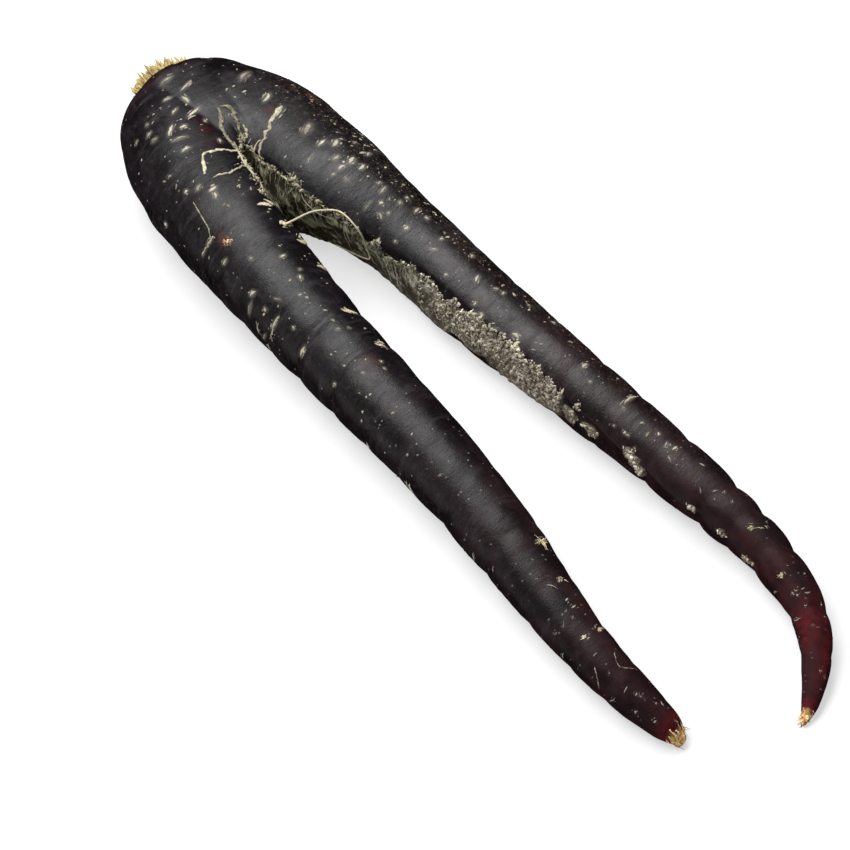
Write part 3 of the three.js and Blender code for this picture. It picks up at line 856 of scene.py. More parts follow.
# Healed pores and cracks: side, station, angle, length, width, heading in degrees, where 0
# runs round the root and 90 along it, and tone from dark to pale
MARKS = [
    (-1, 20, 86, 3.9, 1.2, 6, .35), (-1, 25, 68, 5.1, .9, 19, .6), (-1, 26, 93, 2.9, .9, 0, .55),
    (-1, 29, 76, 3.6, 1, -73, .8), (-1, 31, 92, 2.5, .8, 38, .55), (-1, 34, 75, 4.8, 1.1, 20, 1),
    (-1, 36, 105, 3.8, 1, 51, .95), (-1, 37, 92, 2.1, 1.2, -10, .75),
    (-1, 40, 101, 4.3, .8, -19, .35), (-1, 44, 102, 2.6, 1, 0, .85), (-1, 38, 69, 1.5, .6, 88, .6),
    (-1, 46, 69, 2.4, .6, 74, .6), (-1, 29, 124, 1.2, .8, -34, .3), (-1, 32, 126, 1.8, 1, 12, .35),
    (-1, 35, 123, 1.9, 1, 0, .3), (-1, 30, 143, 1.3, .8, 37, .3), (-1, 47, 129, 1, .6, -20, .5),
    (-1, 54, 126, 1, 1, -20, .95), (-1, 56, 115, 2.1, 1.2, 33, .35),
    (-1, 59, 106, 2.4, 1.1, 0, .9), (-1, 61, 108, 2.2, .8, 76, .85),
    (-1, 53, 168, 1.5, 1.2, -81, .8), (-1, 69, 141, 2.6, .9, 0, .6), (-1, 69, 152, 3, .5, 0, .4),
    (-1, 76, 142, 2.4, .8, -4, .6), (-1, 81, 117, .8, .8, -14, .6), (-1, 87, 142, 2.3, 1, -19, .8),
    (-1, 88, 159, 4.5, .5, 10, .4), (-1, 92, 144, 1.2, .8, 72, .7), (-1, 85, 87, 1.9, .8, 6, .9),
    (-1, 92, 86, 1.7, .8, 64, .8), (-1, 96, 100, .6, .6, -28, .8), (-1, 90, 80, 1.1, .5, 0, .4),
    (-1, 96, 148, 4.2, 1, 3, .8), (-1, 101, 133, 1, .6, 90, .7), (-1, 106, 148, 3.4, 1, 0, .8),
    (-1, 94, 177, 2.9, .5, -18, .4), (-1, 105, 56, 4.3, .8, -29, .9),
    (-1, 117, 53, 2.9, .8, -47, .9), (-1, 122, 78, .6, .6, 0, 1), (-1, 124, 82, .6, .6, -17, .6),
    (-1, 109, 93, 1.1, .5, -30, .4), (-1, 110, 80, .8, .5, -30, .4),
    (-1, 122, 108, .8, .6, -42, .5), (-1, 118, 148, 1, .8, -71, .6),
    (-1, 93, 124, 2.1, .4, -60, .3), (-1, 179, 55, 4.7, 1.2, 7, .7),
    (-1, 189, 71, 2.2, .8, 36, .7), (-1, 194, 84, 1.1, .8, 21, 1), (-1, 196, 80, 1.6, .8, 13, 1),
    (-1, 198, 97, 1.1, .5, 31, .5), (-1, 198, 122, 2, .4, 36, .35), (-1, 203, 104, 1.2, 1.5, 9, 1),
    (-1, 203, 60, 2.5, 1.5, 27, .8), (-1, 203, 91, .4, .5, -28, .6),
    (-1, 198, 146, 1.3, .8, -8, .4), (-1, 212, 117, .4, .5, -51, .5),
    (-1, 219, 109, .9, .8, 12, .6), (-1, 220, 104, .6, .8, 0, .5), (-1, 221, 149, 1.2, 1, -9, .45),
    (-1, 223, 86, .6, .6, 0, .6), (-1, 225, 135, 1, .8, -22, .7), (-1, 228, 78, .8, .6, 0, .4),
    (1, 31, 99, 4.7, 1.6, -21, .3), (1, 41, 90, 3.8, 1.2, -33, .8), (1, 47, 84, 4.8, 1.2, -31, .6),
    (1, 56, 90, 4.5, 1.8, -41, .35), (1, 62, 88, 2.9, 1.1, -16, .8),
    (1, 64, 97, 3.2, 1.6, -34, .7), (1, 64, 68, 2.9, .5, -20, .45), (1, 68, 84, 2.2, 1, -11, .6),
    (1, 71, 92, 2.8, 1.6, -26, .9), (1, 71, 79, 2.2, 1, 0, .8), (1, 74, 94, 2.5, 1.2, -14, .9),
    (1, 71, 68, .9, .6, 0, .7), (1, 71, 114, 2.4, .9, -30, .5), (1, 80, 93, 1.2, .8, -10, .5),
    (1, 82, 89, 3.1, .8, -12, .75), (1, 82, 62, 3.4, .4, 0, .4), (1, 84, 75, 1.1, 1.1, 11, 1),
    (1, 86, 62, 1.9, .8, -54, .7), (1, 87, 71, 1.1, .8, 22, .6), (1, 87, 104, 1, .9, 67, .7),
    (1, 87, 91, 1.6, 1, -31, .5), (1, 93, 71, 1.4, 1.1, 9, 1), (1, 91, 100, 2.6, .9, -12, .6),
    (1, 94, 102, 1.5, 1, 62, .6), (1, 93, 49, 1, 1, 0, .6), (1, 74, 72, 1.8, .8, -77, .35),
    (1, 66, 113, 1.2, 1, 89, .3), (1, 101, 93, 1.2, .8, 33, .8), (1, 102, 74, 1.8, .5, 45, .7),
    (1, 109, 60, .8, .8, -33, .8), (1, 109, 107, 1.8, .8, -28, .6), (1, 115, 85, 2.4, .8, -26, .9),
    (1, 122, 95, 1.3, .8, -19, .8), (1, 119, 56, 1.2, .8, -10, .8), (1, 120, 93, 1.6, .8, 54, .4),
    (1, 128, 111, .9, .5, -14, .5), (1, 135, 120, 1.3, .8, 77, .7), (1, 149, 93, 2.4, 1, -10, .7),
    (1, 153, 77, .8, .6, 15, .5), (1, 122, 51, .9, .8, 0, .7), (1, 132, 58, 2.3, 1.2, 90, .9),
    (1, 162, 100, 4.5, .8, -5, .8), (1, 163, 80, .6, .8, 42, .5), (1, 167, 49, .9, 1, 42, 1),
    (1, 173, 86, 1.1, .8, -34, 1), (1, 176, 80, 2.2, .6, -23, .7), (1, 178, 86, 1.7, 1, 7, 1),
    (1, 179, 64, 2, .5, -59, .6), (1, 168, 49, 1.1, .8, 77, .4), (1, 164, 46, .7, .8, 0, .35),
    (1, 171, 38, .8, .8, 90, .5), (1, 193, 89, 1.2, .8, -11, .35), (1, 196, 84, 1.1, .5, -35, .5),
    (1, 203, 71, 1.9, .8, 27, .9), (1, 205, 100, 1.3, .6, 83, .6), (1, 204, 111, .7, .5, 18, .5),
    (1, 216, 55, 1.8, 1, -70, .9), (1, 221, 53, 1.4, .8, 79, .5), (1, 222, 62, .8, .8, 71, .8),
    (1, 225, 71, .8, .6, 34, .7), (1, 218, 111, 1, .6, -25, .5), (1, 227, 29, 2.9, .6, 21, .6),
    (1, 225, 131, 1, .6, -39, .5), (1, 240, 108, .9, .6, 0, .6), (1, 241, 135, 1.1, .6, 23, .5),
    (1, 230, 78, 1.1, .4, 11, .4),
]


# Flakes of torn callus along the two lips, in the same order as the marks
FLAKES = [
    (-1, 57, 61, 1.8, .6, 60, .65), (-1, 60.5, 65, 2, .7, 65, .7), (-1, 64, 64, 2.4, .7, 70, .75),
    (-1, 69.6, 70, 4.4, 1.5, -20, .95), (-1, 69, 64, 3.4, 1, -50, .8),
    (-1, 69.8, 57, 3, 1.5, -15, .8), (-1, 76.2, 58, 3.4, 2, -20, 1), (-1, 75.6, 62, 2, 1.3, 40, 1),
    (-1, 76, 50, 3, 1.4, -10, .8), (-1, 81.6, 48, 3.8, 1.5, -15, 1),
    (-1, 81.2, 41, 3, 1.8, -10, .8), (-1, 79.8, 47, 2.2, .9, 50, .7),
    (-1, 89.8, 45, 3.4, 1.4, -20, .85), (-1, 89.2, 38, 2.8, 1.5, -10, .7),
    (-1, 104.6, 62, 3, 1.1, -12, .95), (-1, 105, 54, 2.6, 1.3, -20, .9),
    (-1, 105.4, 48, 1.8, 1, 0, .8), (-1, 116.8, 58, 2.8, .9, -25, .85),
    (-1, 116, 50, 2.4, 1.1, -20, .8), (1, 56, 34, 3.4, 1.2, 82, .8),
    (1, 64.2, 43, 2.4, 1.1, 10, .75), (1, 65.8, 39, 2, .9, 60, .5), (1, 72, 36, 2.6, 1, 75, .4),
    (1, 77, 30, 3, 1.6, 5, .8), (1, 78.4, 37, 2.2, .9, 60, .5), (1, 88.7, 34, 3.2, 1.2, 0, .85),
    (1, 87.4, 25, 2.4, 1, 30, .6), (1, 93, 22, 3.6, .9, 70, .7), (1, 101, 34, 2.6, 1, 10, .6),
    (1, 106, 35, 2.2, 1.1, 60, .6), (1, 114.4, 36, 3, 1, 10, .85),
    (1, 120.6, 43, 2.4, 1.2, 30, .8), (1, 122.4, 47, 2, 1, 0, .8), (1, 126, 42, 2.2, 1.4, 50, .9),
    (1, 133.4, 49, 2.3, 1.3, 20, .9), (1, 141, 43, 2, 1, 20, .8), (1, 149, 34, 2.6, .9, 0, .7),
    (1, 154.2, 33, 2.4, 1, 10, .8),
]


def marks_mesh(name, marks, finish, rows, sides, shards=1):
    """Spindles of cork, half sunk in the skin. A spindle's width and thickness follow
    (1 - |u|^1.6)^0.7 of the way u from its middle to its ends, roughened by a share, and
    it is narrower and darker near the tips. With more shards a mark is a bundle of
    shorter spindles, strewn along its own line."""
    vertices, faces, tones, start = [], [], [], 0
    marks = np.array(marks, float)
    for sign, side in SIDES.items():
        m = marks[marks[:, 0] == sign, 1:]
        if shards > 1:
            m = np.repeat(m, shards, axis=0)
            along = rng.uniform(-0.4, 0.4, len(m))
            aside = rng.uniform(0.5, 0.95, len(m)) * rng.choice([-1, 1], len(m))
            turn, radius = np.radians(m[:, 4]), side.section(m[:, 0]).high
            main = np.arange(len(m)) % shards == 0
            along, aside = np.where(main, 0, along), np.where(main, 0, aside)
            along, aside = along * m[:, 2], aside * m[:, 3]
            m[:, 0] += along * np.sin(turn) + aside * np.cos(turn)
            m[:, 1] += np.degrees((along * np.cos(turn) - aside * np.sin(turn)) / radius)
            m[:, 2] *= np.where(main, 0.9, rng.uniform(0.2, 0.55, len(m)))
            m[:, 3] *= np.where(main, 0.8, rng.uniform(0.2, 0.45, len(m)))
            m[:, 4] += np.where(main, 0, rng.normal(0, 12, len(m)))
            m[:, 5] *= np.where(main, 1, rng.uniform(0.4, 0.9, len(m)))
        at, angle, length, width, heading, tone = m.T[:, :, None]
        width = width * (1 - 0.4 * smoothstep(at, *TIPS))
        tone = tone * (1 - 0.2 * smoothstep(at, *TIPS))
        u = np.linspace(-1, 1, rows)
        angle, heading = np.radians(angle), np.radians(heading)
        bend = 0.12 * length * rng.normal(size=at.shape) * (u ** 2 - 0.4)
        bend = bend + 0.05 * rng.normal(size=(len(m), rows))
        radius = side.section(at).high.clip(0.5)
        half = 0.5 * length * u
        on = np.clip(at + half * np.sin(heading) + bend * np.cos(heading), 0.5, side.length)
        round_it = angle + (half * np.cos(heading) - bend * np.sin(heading)) / radius
        profile = (1 - np.abs(u) ** 1.6).clip(0.02) ** 0.7
        rough = profile * rng.uniform(0.8, 1.2, (len(m), rows))
        path, up = side.point(on, round_it), side.outward(on, round_it)
        thick = np.minimum(0.12 + 0.14 * width, 0.3) * profile
        points, new = tubes(path, up, width * rough, thick, sides)
        points = points + 0.03 * rng.normal(size=points.shape) * profile[:, None, None]
        points[..., 2] = points[..., 2].clip(0)
        vertices.append(points.reshape(-1, 3))
        faces += [[v + start for v in face] for face in new]
        start += points[..., 0].size
        crest = np.sin(2 * np.pi * np.arange(sides) / sides).clip(0)
        shade = tone[..., None] * (0.35 + 0.65 * profile[:, None]) * (0.35 + 0.7 * crest)
        tones.append((shade + 0.08 * rng.normal(size=points.shape[:3])).ravel())
    dry_piece(name, np.concatenate(vertices), faces, finish, np.concatenate(tones))


def bloom(side, at, angle):
    """How strongly the skin round each mark of the table is bleached: a soft ellipse,
    a little longer and wider than the mark, and weaker near the tips."""
    total = np.zeros(at.shape)
    radius = side.section(at).high
    for sign, place, turn, length, width, heading, _ in MARKS:
        if sign != side.sign:
            continue
        near = np.abs(at - place) < 5
        on = at[near] - place
        aside = round_the_leg(radius[near], angle[near], turn)
        h = np.radians(heading)
        u = (on * np.sin(h) + aside * np.cos(h)) / (0.3 + 0.55 * length)
        v = (on * np.cos(h) - aside * np.sin(h)) / (0.4 + 0.6 * width)
        spot = (0.85 - 0.45 * smoothstep(place, *TIPS)) * np.exp(-(u ** 2) - v ** 2)
        total[near] = np.maximum(total[near], spot)
    return total


def random_sides(count, share):
    """Signs of sides drawn at random, with that share of them long, and their lengths."""
    sign = np.where(rng.random(count) < share, 1, -1)
    return sign, np.where(sign > 0, SIDES[1].length, SIDES[-1].length)


def scattered_flecks(count):
    """Small flecks at random: more of them on the shoulder and along the top of the long
    leg, mostly turned round the root, small ones far more often than large ones."""
    sign, length = random_sides(count, 0.6)
    at = 14 + (length - 18) * rng.random(count) ** 1.35
    angle = rng.normal(105, 62, count) % 360
    size = 0.28 + 0.5 * rng.random(count) ** 2.5
    heading = rng.normal(0, 32, count)
    tone = 0.2 + 0.7 * rng.random(count) ** 2
    face = (np.abs((angle + 180) % 360 - 180) < 42) & (at > 42) & (at < 176)
    table = np.stack([sign, at, angle, size * rng.uniform(1, 2.6, count), size, heading, tone], 1)
    return table[~face]


# Clusters of tiny pale specks: side, station, angle, spread along, spread in degrees, count
SPECKS = [
    (-1, 60, 85, 14, 22, 10), (-1, 30, 95, 12, 28, 12), (-1, 100, 95, 16, 26, 10),
    (1, 75, 105, 16, 20, 24), (1, 60, 130, 18, 16, 28), (1, 100, 115, 18, 16, 24),
    (1, 135, 115, 18, 14, 18), (1, 172, 80, 10, 22, 8), (1, 222, 75, 9, 30, 6),
    (1, 30, 100, 14, 30, 12), (1, 190, 70, 12, 25, 6), (-1, 120, 120, 40, 40, 30),
]


def clustered_specks():
    """Tiny marks strewn round the middle of each cluster."""
    groups = []
    for sign, place, turn, spread, fan, count in SPECKS:
        at = np.clip(place + 0.6 * spread * rng.normal(size=count), 12, SIDES[sign].length - 2)
        size = 0.3 + 0.55 * rng.random(count) ** 2
        angle = turn + 0.6 * fan * rng.normal(size=count)
        groups.append((np.full(count, sign), at, angle, size * rng.uniform(1, 2.2, count), size,
                       rng.normal(0, 40, count), rng.uniform(0.35, 1, count)))
    return np.stack(gather(groups), 1)


def scattered_cracks(count):
    """Spindles like those of the table, on the sides that the table leaves bare."""
    sign, length = random_sides(count, 0.5)
    at = 18 + (length - 26) * rng.random(count)
    angle = rng.uniform(165, 325, count)
    size = rng.uniform(1.6, 4.6, count)
    heading, tone = rng.normal(0, 14, count), rng.uniform(0.35, 0.95, count)
    return np.stack([sign, at, angle, size, 0.3 + 0.18 * size, heading, tone], 1)


# ---- cords, shreds, crumbs and fibres --------------------------------------------------

# Healed cords that lie on the skin round the fork: side, places as station and angle,
# width, thickness, tone, and how far the width swells towards the last place
CORDS = [
    (-1, [(36.2, 47), (37.4, 49), (42.7, 58), (47.6, 59), (51.4, 59)], 1.6, 1.0, 0.24, 0.2),
    (1, [(36.0, 50), (37, 56), (39, 55), (42, 50), (45, 45), (48, 34)], 1.6, 1.0, 0.24, 0),
    (1, [(44, 52), (46, 49), (47, 39), (50, 28)], 1.0, 0.7, 0.5, 0),
    (1, [(50, 53), (50, 48), (51, 39), (52, 34), (56, 32), (59, 35), (62, 36), (65, 42)],
     0.9, 0.8, 0.62, 0),
    (1, [(52.5, 40), (51, 48), (50.3, 57), (48, 74), (45.7, 92)], 1.1, 0.5, 0.65, 0.9),
    (-1, [(51, 57), (50, 69), (49, 78), (48, 90), (50, 95), (54, 103)], 1.2, 0.8, 0.85, 0.2),
    (-1, [(57, 55), (57, 74), (57, 82), (56, 99)], 0.9, 0.7, 0.7, 0),
    (-1, [(47, 55), (53, 62), (58, 65), (63, 63), (68, 58)], 0.8, 0.8, 0.6, 0.2),
    (-1, [(58, 127), (63, 130), (67, 133), (69, 138)], 0.4, 0.3, 0.45, 0),
    (-1, [(69, 133), (69, 146), (69, 160)], 0.6, 0.4, 0.5, 0),
    (-1, [(96, 136), (96, 150), (97, 172)], 0.7, 0.4, 0.45, 0),
    (1, [(203, 66), (204, 80), (205, 94)], 0.35, 0.3, 0.6, 0),
    (1, [(161, 102), (162, 114), (162, 127)], 0.4, 0.3, 0.6, 0),
    (-1, [(209, 70), (212, 87), (215, 52)], 0.25, 0.25, 0.4, 0),
    (-1, [(209, 131), (211, 150), (212, 168)], 0.3, 0.25, 0.4, 0),
]


def evenly(knots, steps, rows):
    """Rows in even steps along a smooth line through knots that lie steps apart."""
    walked = walk(steps)
    return through(walked, knots, np.linspace(0, walked[-1], rows))


def cords_mesh(finish, rows=33, sides=10):
    """Flattened cords that follow the skin and are half sunk in it. Their width varies
    at random from point to point, and they taper at both ends."""
    groups = []
    share = np.linspace(0, 1, rows)
    ends = np.clip(np.minimum(share, 1 - share) * 9 + 0.12, 0, 1) ** 0.6
    for sign, places, width, thickness, tone, swell in CORDS:
        side, knots = SIDES[sign], np.array(places, float)
        steps = np.hypot(*(np.diff(knots, axis=0) * (1, 0.2)).T)  # a degree is about 0.2 mm
        at, angle = evenly(knots, steps, rows).T
        angle = np.radians(angle)
        at = at + 0.25 * width * np.convolve(rng.normal(size=rows), np.ones(3) / 2, "same")
        path, up = side.point(at, angle, 0.05 * thickness), side.outward(at, angle)
        uneven = rng.uniform(0.6, 1.35, rows)
        wide = 0.62 * width * ends * uneven * (1 + swell * share ** 2)
        tones = tone * rng.uniform(0.5, 1.15, (rows, 1)) + 0.12 * rng.normal(size=(rows, sides))
        groups.append((path, up, wide, 0.6 * thickness * ends, tones))
    *shape, tones = [np.array(values) for values in zip(*groups)]
    points, faces = tubes(*shape, sides)
    points += 0.04 * rng.normal(size=points.shape)
    dry_piece("healed_cords", points, faces, finish, tones)


def strands_mesh(name, finish, groups, blunt=1.3):
    """Tapering strands, in groups of starts, directions, bends, lengths, widths and tones.
    A strand runs from its start along its direction and bends sideways by the square of
    the way t along it. Its width follows 1 - 0.85 t^blunt, roughened by a share."""
    starts, directions, bends, lengths, widths, tones = gather(groups)
    rows, sides = 7, 5
    t = np.linspace(0, 1, rows)[:, None]
    directions, lengths = unit(directions), lengths[:, None, None]
    paths = starts[:, None] + lengths * (directions[:, None] * t + bends[:, None] * t * t)
    paths = paths + 0.04 * lengths * rng.normal(size=paths.shape) * t
    ups = unit(np.cross(directions, bends + [0.013, 0.007, 0.011]))[:, None]
    taper = (1 - 0.85 * t[:, 0] ** blunt) * rng.uniform(0.75, 1.25, (len(starts), rows))
    width = widths[:, None] * taper
    points, faces = tubes(paths, ups, width, 0.55 * width, sides)
    points[..., 2] = points[..., 2].clip(FLOOR_GAP)
    tone = tones[:, None, None] + 0.18 * rng.normal(size=points.shape[:3])
    dry_piece(name, points, faces, finish, tone)


def lip_shreds(finish):
    """Shreds of torn skin along the upper edges of the two scars: most lie along the
    edge and a few stand off it. A stretch of edge is a side, two stations and a count."""
    groups = []
    for sign, first, last, count in ((1, 47, 122, 150), (1, 122, 146, 40), (-1, 47, 67, 30)):
        side = SIDES[sign]
        at = rng.uniform(first, last, count)
        angle = side.lip(at) + np.radians(rng.normal(-1, 3.5, count))
        out = side.outward(at, angle)
        start = side.point(at, angle, -0.1)
        along = unit(side.point(at + 0.5, angle) - start)
        down = np.cross(along, out) * sign
        a, b, c = rng.normal(size=(3, count, 1))
        direction = along * a * 1.3 + out * (0.25 + 0.35 * np.abs(b)) + down * 0.5 * c
        bend = out * rng.normal(0, 0.25, (count, 1)) + down * rng.normal(0, 0.3, (count, 1))
        length = 0.5 + 1.1 * rng.random(count) ** 2
        groups.append((start, direction, bend, length, rng.uniform(0.2, 0.5, count),
                       0.2 + 0.55 * rng.random(count)))
    strands_mesh("lip_shreds", finish, groups)


def wall_fibres(finish):
    """Thin fibres that hang down the wall of the split on the long side."""
    side, count, rows = SIDES[1], 70, 9
    at = 46 + 58 * rng.random(count) ** 1.2
    top = side.lip(at) + np.radians(rng.normal(-4, 5, count))
    drop = np.radians(rng.uniform(12, 55, count))
    t = np.linspace(0, 1, rows)
    angle = top[:, None] - drop[:, None] * t
    drift = rng.normal(0, 1.2, (count, 1)) * t + 0.12 * rng.normal(size=(count, rows))
    at = at[:, None] + drift
    width = rng.uniform(0.12, 0.34, (count, 1)) * np.sin(np.pi * (0.1 + 0.86 * t)) ** 0.5
    path, up = side.point(at, angle, 0.03), side.outward(at, angle)
    points, faces = tubes(path, up, width, 0.8 * width, 5)
    points[..., 2] = points[..., 2].clip(FLOOR_GAP)
    tone = rng.uniform(0.3, 0.85, (count, 1, 1)) + 0.12 * rng.normal(size=points.shape[:3])
    dry_piece("wall_fibres", points, faces, finish, tone)


def crumbs_mesh(name, finish, groups):
    """Rough grains, in groups of places, directions outwards, sizes and tones: balls of
    three rings of six points and two poles, each flattened against the skin, stretched
    and turned at random, and every point moved in or out."""
    starts, ups, sizes, tones = gather(groups)
    count = len(starts)
    lat, lon = np.meshgrid(np.radians([-45, 0, 45]), np.radians(60 * np.arange(6)), indexing="ij")
    ball = np.stack([np.cos(lat) * np.cos(lon), np.cos(lat) * np.sin(lon), np.sin(lat)], -1)
    ball = np.concatenate([ball.reshape(-1, 3), [[0, 0, -1], [0, 0, 1]]])
    spin = unit(ups + 0.5 * rng.normal(size=(count, 3)))
    side = unit(np.cross(spin, rng.normal(size=(count, 3))))
    axes = np.stack([side, np.cross(spin, side), spin], 1)
    axes = axes * rng.uniform((0.8, 0.5, 0.35), (1.6, 1.1, 0.75), (count, 3))[..., None]
    uneven = rng.uniform(0.5, 1.3, (count, len(ball), 1))
    points = starts[:, None] + 0.5 * sizes[:, None, None] * (ball @ axes) * uneven
    points[..., 2] = points[..., 2].clip(FLOOR_GAP)
    j = np.arange(6)
    k = (j + 1) % 6
    low, high = 0 * j + 18, 0 * j + 19  # the two poles
    rows = [(j, k, k + 6), (j, k + 6, j + 6), (j + 6, k + 6, k + 12), (j + 6, k + 12, j + 12),
            (low, k, j), (j + 12, k + 12, high)]
    triangles = np.concatenate([np.stack(row, 1) for row in rows])
    faces = (triangles + len(ball) * np.arange(count)[:, None, None]).reshape(-1, 3)
    tone = tones[:, None] + 0.1 * rng.normal(size=points.shape[:2])
    dry_piece(name, points, faces.tolist(), finish, tone)


def scar_crumbs(finish):
    """Grains of cork: thick on the lower part of the long scar and on the patches beyond
    it, sparse along its lip nearer the crown and along the short side's lip."""
    side, short = SIDES[1], SIDES[-1]
    many, few = 1500, 60
    at = np.concatenate([rng.uniform(103, 149, many), rng.uniform(50, 104, few)])
    lip = np.degrees(side.lip(at))
    low = np.concatenate([rng.uniform(-24, 1, many), np.zeros(few)])
    angle = low + (lip + 5 - low) * rng.random(len(at)) ** 0.8
    angle[many:] = lip[many:] + rng.normal(-1, 1.2, few)
    for place, turn, length, width in PATCHES:
        along, aside = rng.normal(0, 0.5, (2, round(7 * length * width) + 4))
        at = np.concatenate([at, place + length * along])
        radius = side.section(place).high
        angle = np.concatenate([angle, turn + np.degrees(width * aside / radius)])
    kept = rng.random(len(at)) < np.where(at < 147, smoothstep(at, 98, 118) + (at < 104), 1)
    at, angle = at[kept], np.radians(angle[kept])
    straight = side.bare(at, angle)[1]
    size = 0.3 + 1.1 * rng.random(len(at)) ** 2.5
    top = smoothstep(np.degrees(angle - side.lip(at)), -14, 2)
    clump = np.clip(1 + 0.9 * noise(straight, 3.0, 55), 0.2, 1.8)
    tone = 0.15 + (0.5 + 0.25 * top) * rng.random(len(at)) ** 1.2 * clump
    # Painted shade: crumbs darken with the scar, low down and deep in the fork, besides its random
    # dark clouds.
    tone *= 1 - 0.8 * scar_clouds_and_painted_shade(straight, angle)
    groups = [(side.point(at, angle), side.outward(at, angle), size, tone)]
    at = rng.uniform(48, 68, few)
    angle = short.lip(at) + np.radians(rng.normal(1, 2, few))
    groups.append((short.point(at, angle), short.outward(at, angle),
                   rng.uniform(0.3, 1.0, few), rng.uniform(0.15, 0.55, few)))
    crumbs_mesh("scar_crumbs", finish, groups)


def within(starts, directions, lengths):
    """The lengths, shortened so that no strand runs out past either end of the root."""
    run = directions[:, 0]
    room = np.where(run > 0, FRONT - starts[:, 0], starts[:, 0] - BACK).clip(0.3)
    return np.minimum(lengths, room / np.maximum(np.abs(run), 0.05))


def tip_fibres(finish):
    """Ragged fibres at the two cut tips, which run on in the direction of the leg."""
    groups = []
    for sign, count, reach in ((1, 46, 2.6), (-1, 46, 2.2)):
        side = SIDES[sign]
        at = side.length - rng.uniform(0, 2.6, count)
        angle = rng.uniform(0, 2 * np.pi, count)
        start = side.point(at, angle, -0.15)
        out, end = side.outward(at, angle), np.full(count, side.length)
        along = unit(side.point(end, angle) - side.point(end - 2, angle))
        direction = along + out * rng.uniform(0.05, 0.7, (count, 1))
        bend = rng.normal(0, 0.22, (count, 3))
        length = reach * (0.3 + 0.7 * rng.random(count) ** 1.5)
        length = within(start, unit(direction) + bend, length)
        groups.append((start, direction, bend, length, rng.uniform(0.2, 0.5, count),
                       rng.uniform(0.2, 1, count)))
    strands_mesh("tip_fibres", finish, groups)


def crown_fibres(finish):
    """Dry scales on the crown, which stand in a ring between the stalks, and shorter,
    thinner fibres on the skin round them."""
    scales, count = 260, 760
    turn = rng.uniform(0, 2 * np.pi, count)
    turn[:scales] = 2 * np.pi * (np.arange(scales) + rng.random(scales)) / scales
    sign = np.where(np.cos(turn) > 0, 1, -1)
    at = rng.uniform(4.5, 12.5, count)
    angle = np.where(sign > 0, np.pi - turn, turn)
    start = np.empty((count, 3))
    for s, side in SIDES.items():
        mine = sign == s
        start[mine] = side.point(at[mine], angle[mine], -0.1)
    aside = np.stack([0 * turn, np.cos(turn), np.sin(turn)], 1)
    ring = rng.uniform(3.8, 6.8, (scales, 1))
    start[:scales] = [STUB_FOOT_X + 0.4, MIDDLE_Y, CROWN_AXIS] + ring * aside[:scales]
    outer = smoothstep(at, 5.5, 12)
    outer[:scales] = 0
    direction = unit(np.array([-1.0, 0, 0]) + aside * rng.uniform(0, 0.3, (count, 1)))
    bend = aside * rng.normal(0.05, 0.1, (count, 1)) + rng.normal(0, 0.06, (count, 3))
    length = mix(3.8, 1.0, outer) * rng.uniform(0.6, 1.0, count)
    length[:scales] = rng.uniform(5.2, 6.8, scales)
    length = within(start, direction + bend, length)
    width = mix(0.9, 0.5, outer) * rng.uniform(0.5, 1.1, count)
    width[:scales] = rng.uniform(1.1, 2.1, scales)
    tone = rng.uniform(0.35, 1.0, count) - 0.7 * outer
    strands_mesh("crown_fibres", finish, [(start, direction, bend, length, width, tone)], 4)


# Tufts of fibres where fine roots broke off: side, station, angle, reach, strands, tone
TUFTS = [
    (-1, 179, 55, 2.4, 26, .85), (-1, 203, 60, 1.2, 12, .75), (-1, 189, 66, 1.3, 8, .6),
    (-1, 203, 104, .8, 8, .9), (-1, 105, 58, 1.6, 14, .85), (-1, 117, 53, 1.5, 12, .8),
    (-1, 64, 60, 1.1, 8, .7), (1, 65, 44, .7, 9, .3), (1, 216, 55, 1.1, 7, .8),
    (1, 203, 74, 1.2, 8, .65), (1, 162, 112, 1.2, 7, .6), (-1, 141, 215, 1.6, 12, .7),
    (1, 120, 245, 1.8, 14, .7), (1, 58, 200, 1.5, 12, .6), (-1, 90, 250, 1.6, 12, .7),
]


def tufts_mesh(finish):
    """Strands that spread from a point in all directions, nearly flat on the skin."""
    groups = []
    for sign, place, turn, reach, count, tone in TUFTS:
        side = SIDES[sign]
        at = place + 0.25 * rng.normal(size=count)
        angle = np.radians(turn) + 0.25 * rng.normal(size=count) / side.section(place).high
        start, out = side.point(at, angle), side.outward(at, angle)
        along = unit(side.point(at + 0.5, angle) - start)
        round_it = np.cross(out, along)
        way = rng.uniform(0, 2 * np.pi, (count, 1))
        direction = 0.6 * along * np.cos(way) + round_it * np.sin(way)
        direction = unit(direction) + out * rng.uniform(0.05, 0.4, (count, 1))
        bend = -0.25 * out + 0.15 * rng.normal(size=(count, 3))
        groups.append((start, direction, bend, reach * rng.uniform(0.35, 1, count),
                       rng.uniform(0.16, 0.36, count), tone * rng.uniform(0.6, 1.1, count)))
    strands_mesh("root_tufts", finish, groups)


# Swollen bits of callus along the two lips near the fork: side, station, degrees above
# the lip, size, tone
NODULES = [
    (1, 46, 2, 1.3, .5), (1, 49, 0, 1.6, .6), (1, 54, -2, 1.3, .6), (1, 58, -1, 1.6, .5),
    (1, 64, 0, 1.5, .6), (1, 71, 0, 1.2, .4), (1, 77, 0, 1.3, .55), (1, 88.5, 0, 1.4, .6),
    (1, 101, -1, 1.2, .5), (1, 114, -1, 1.2, .6), (-1, 47, 2, 1.2, .4), (-1, 50, 0, 1.3, .5),
    (-1, 54, -1, 1.1, .5), (-1, 58, 0, 1.2, .6), (-1, 62, 1, 1.3, .6), (-1, 66, 1, 1.2, .6),
]


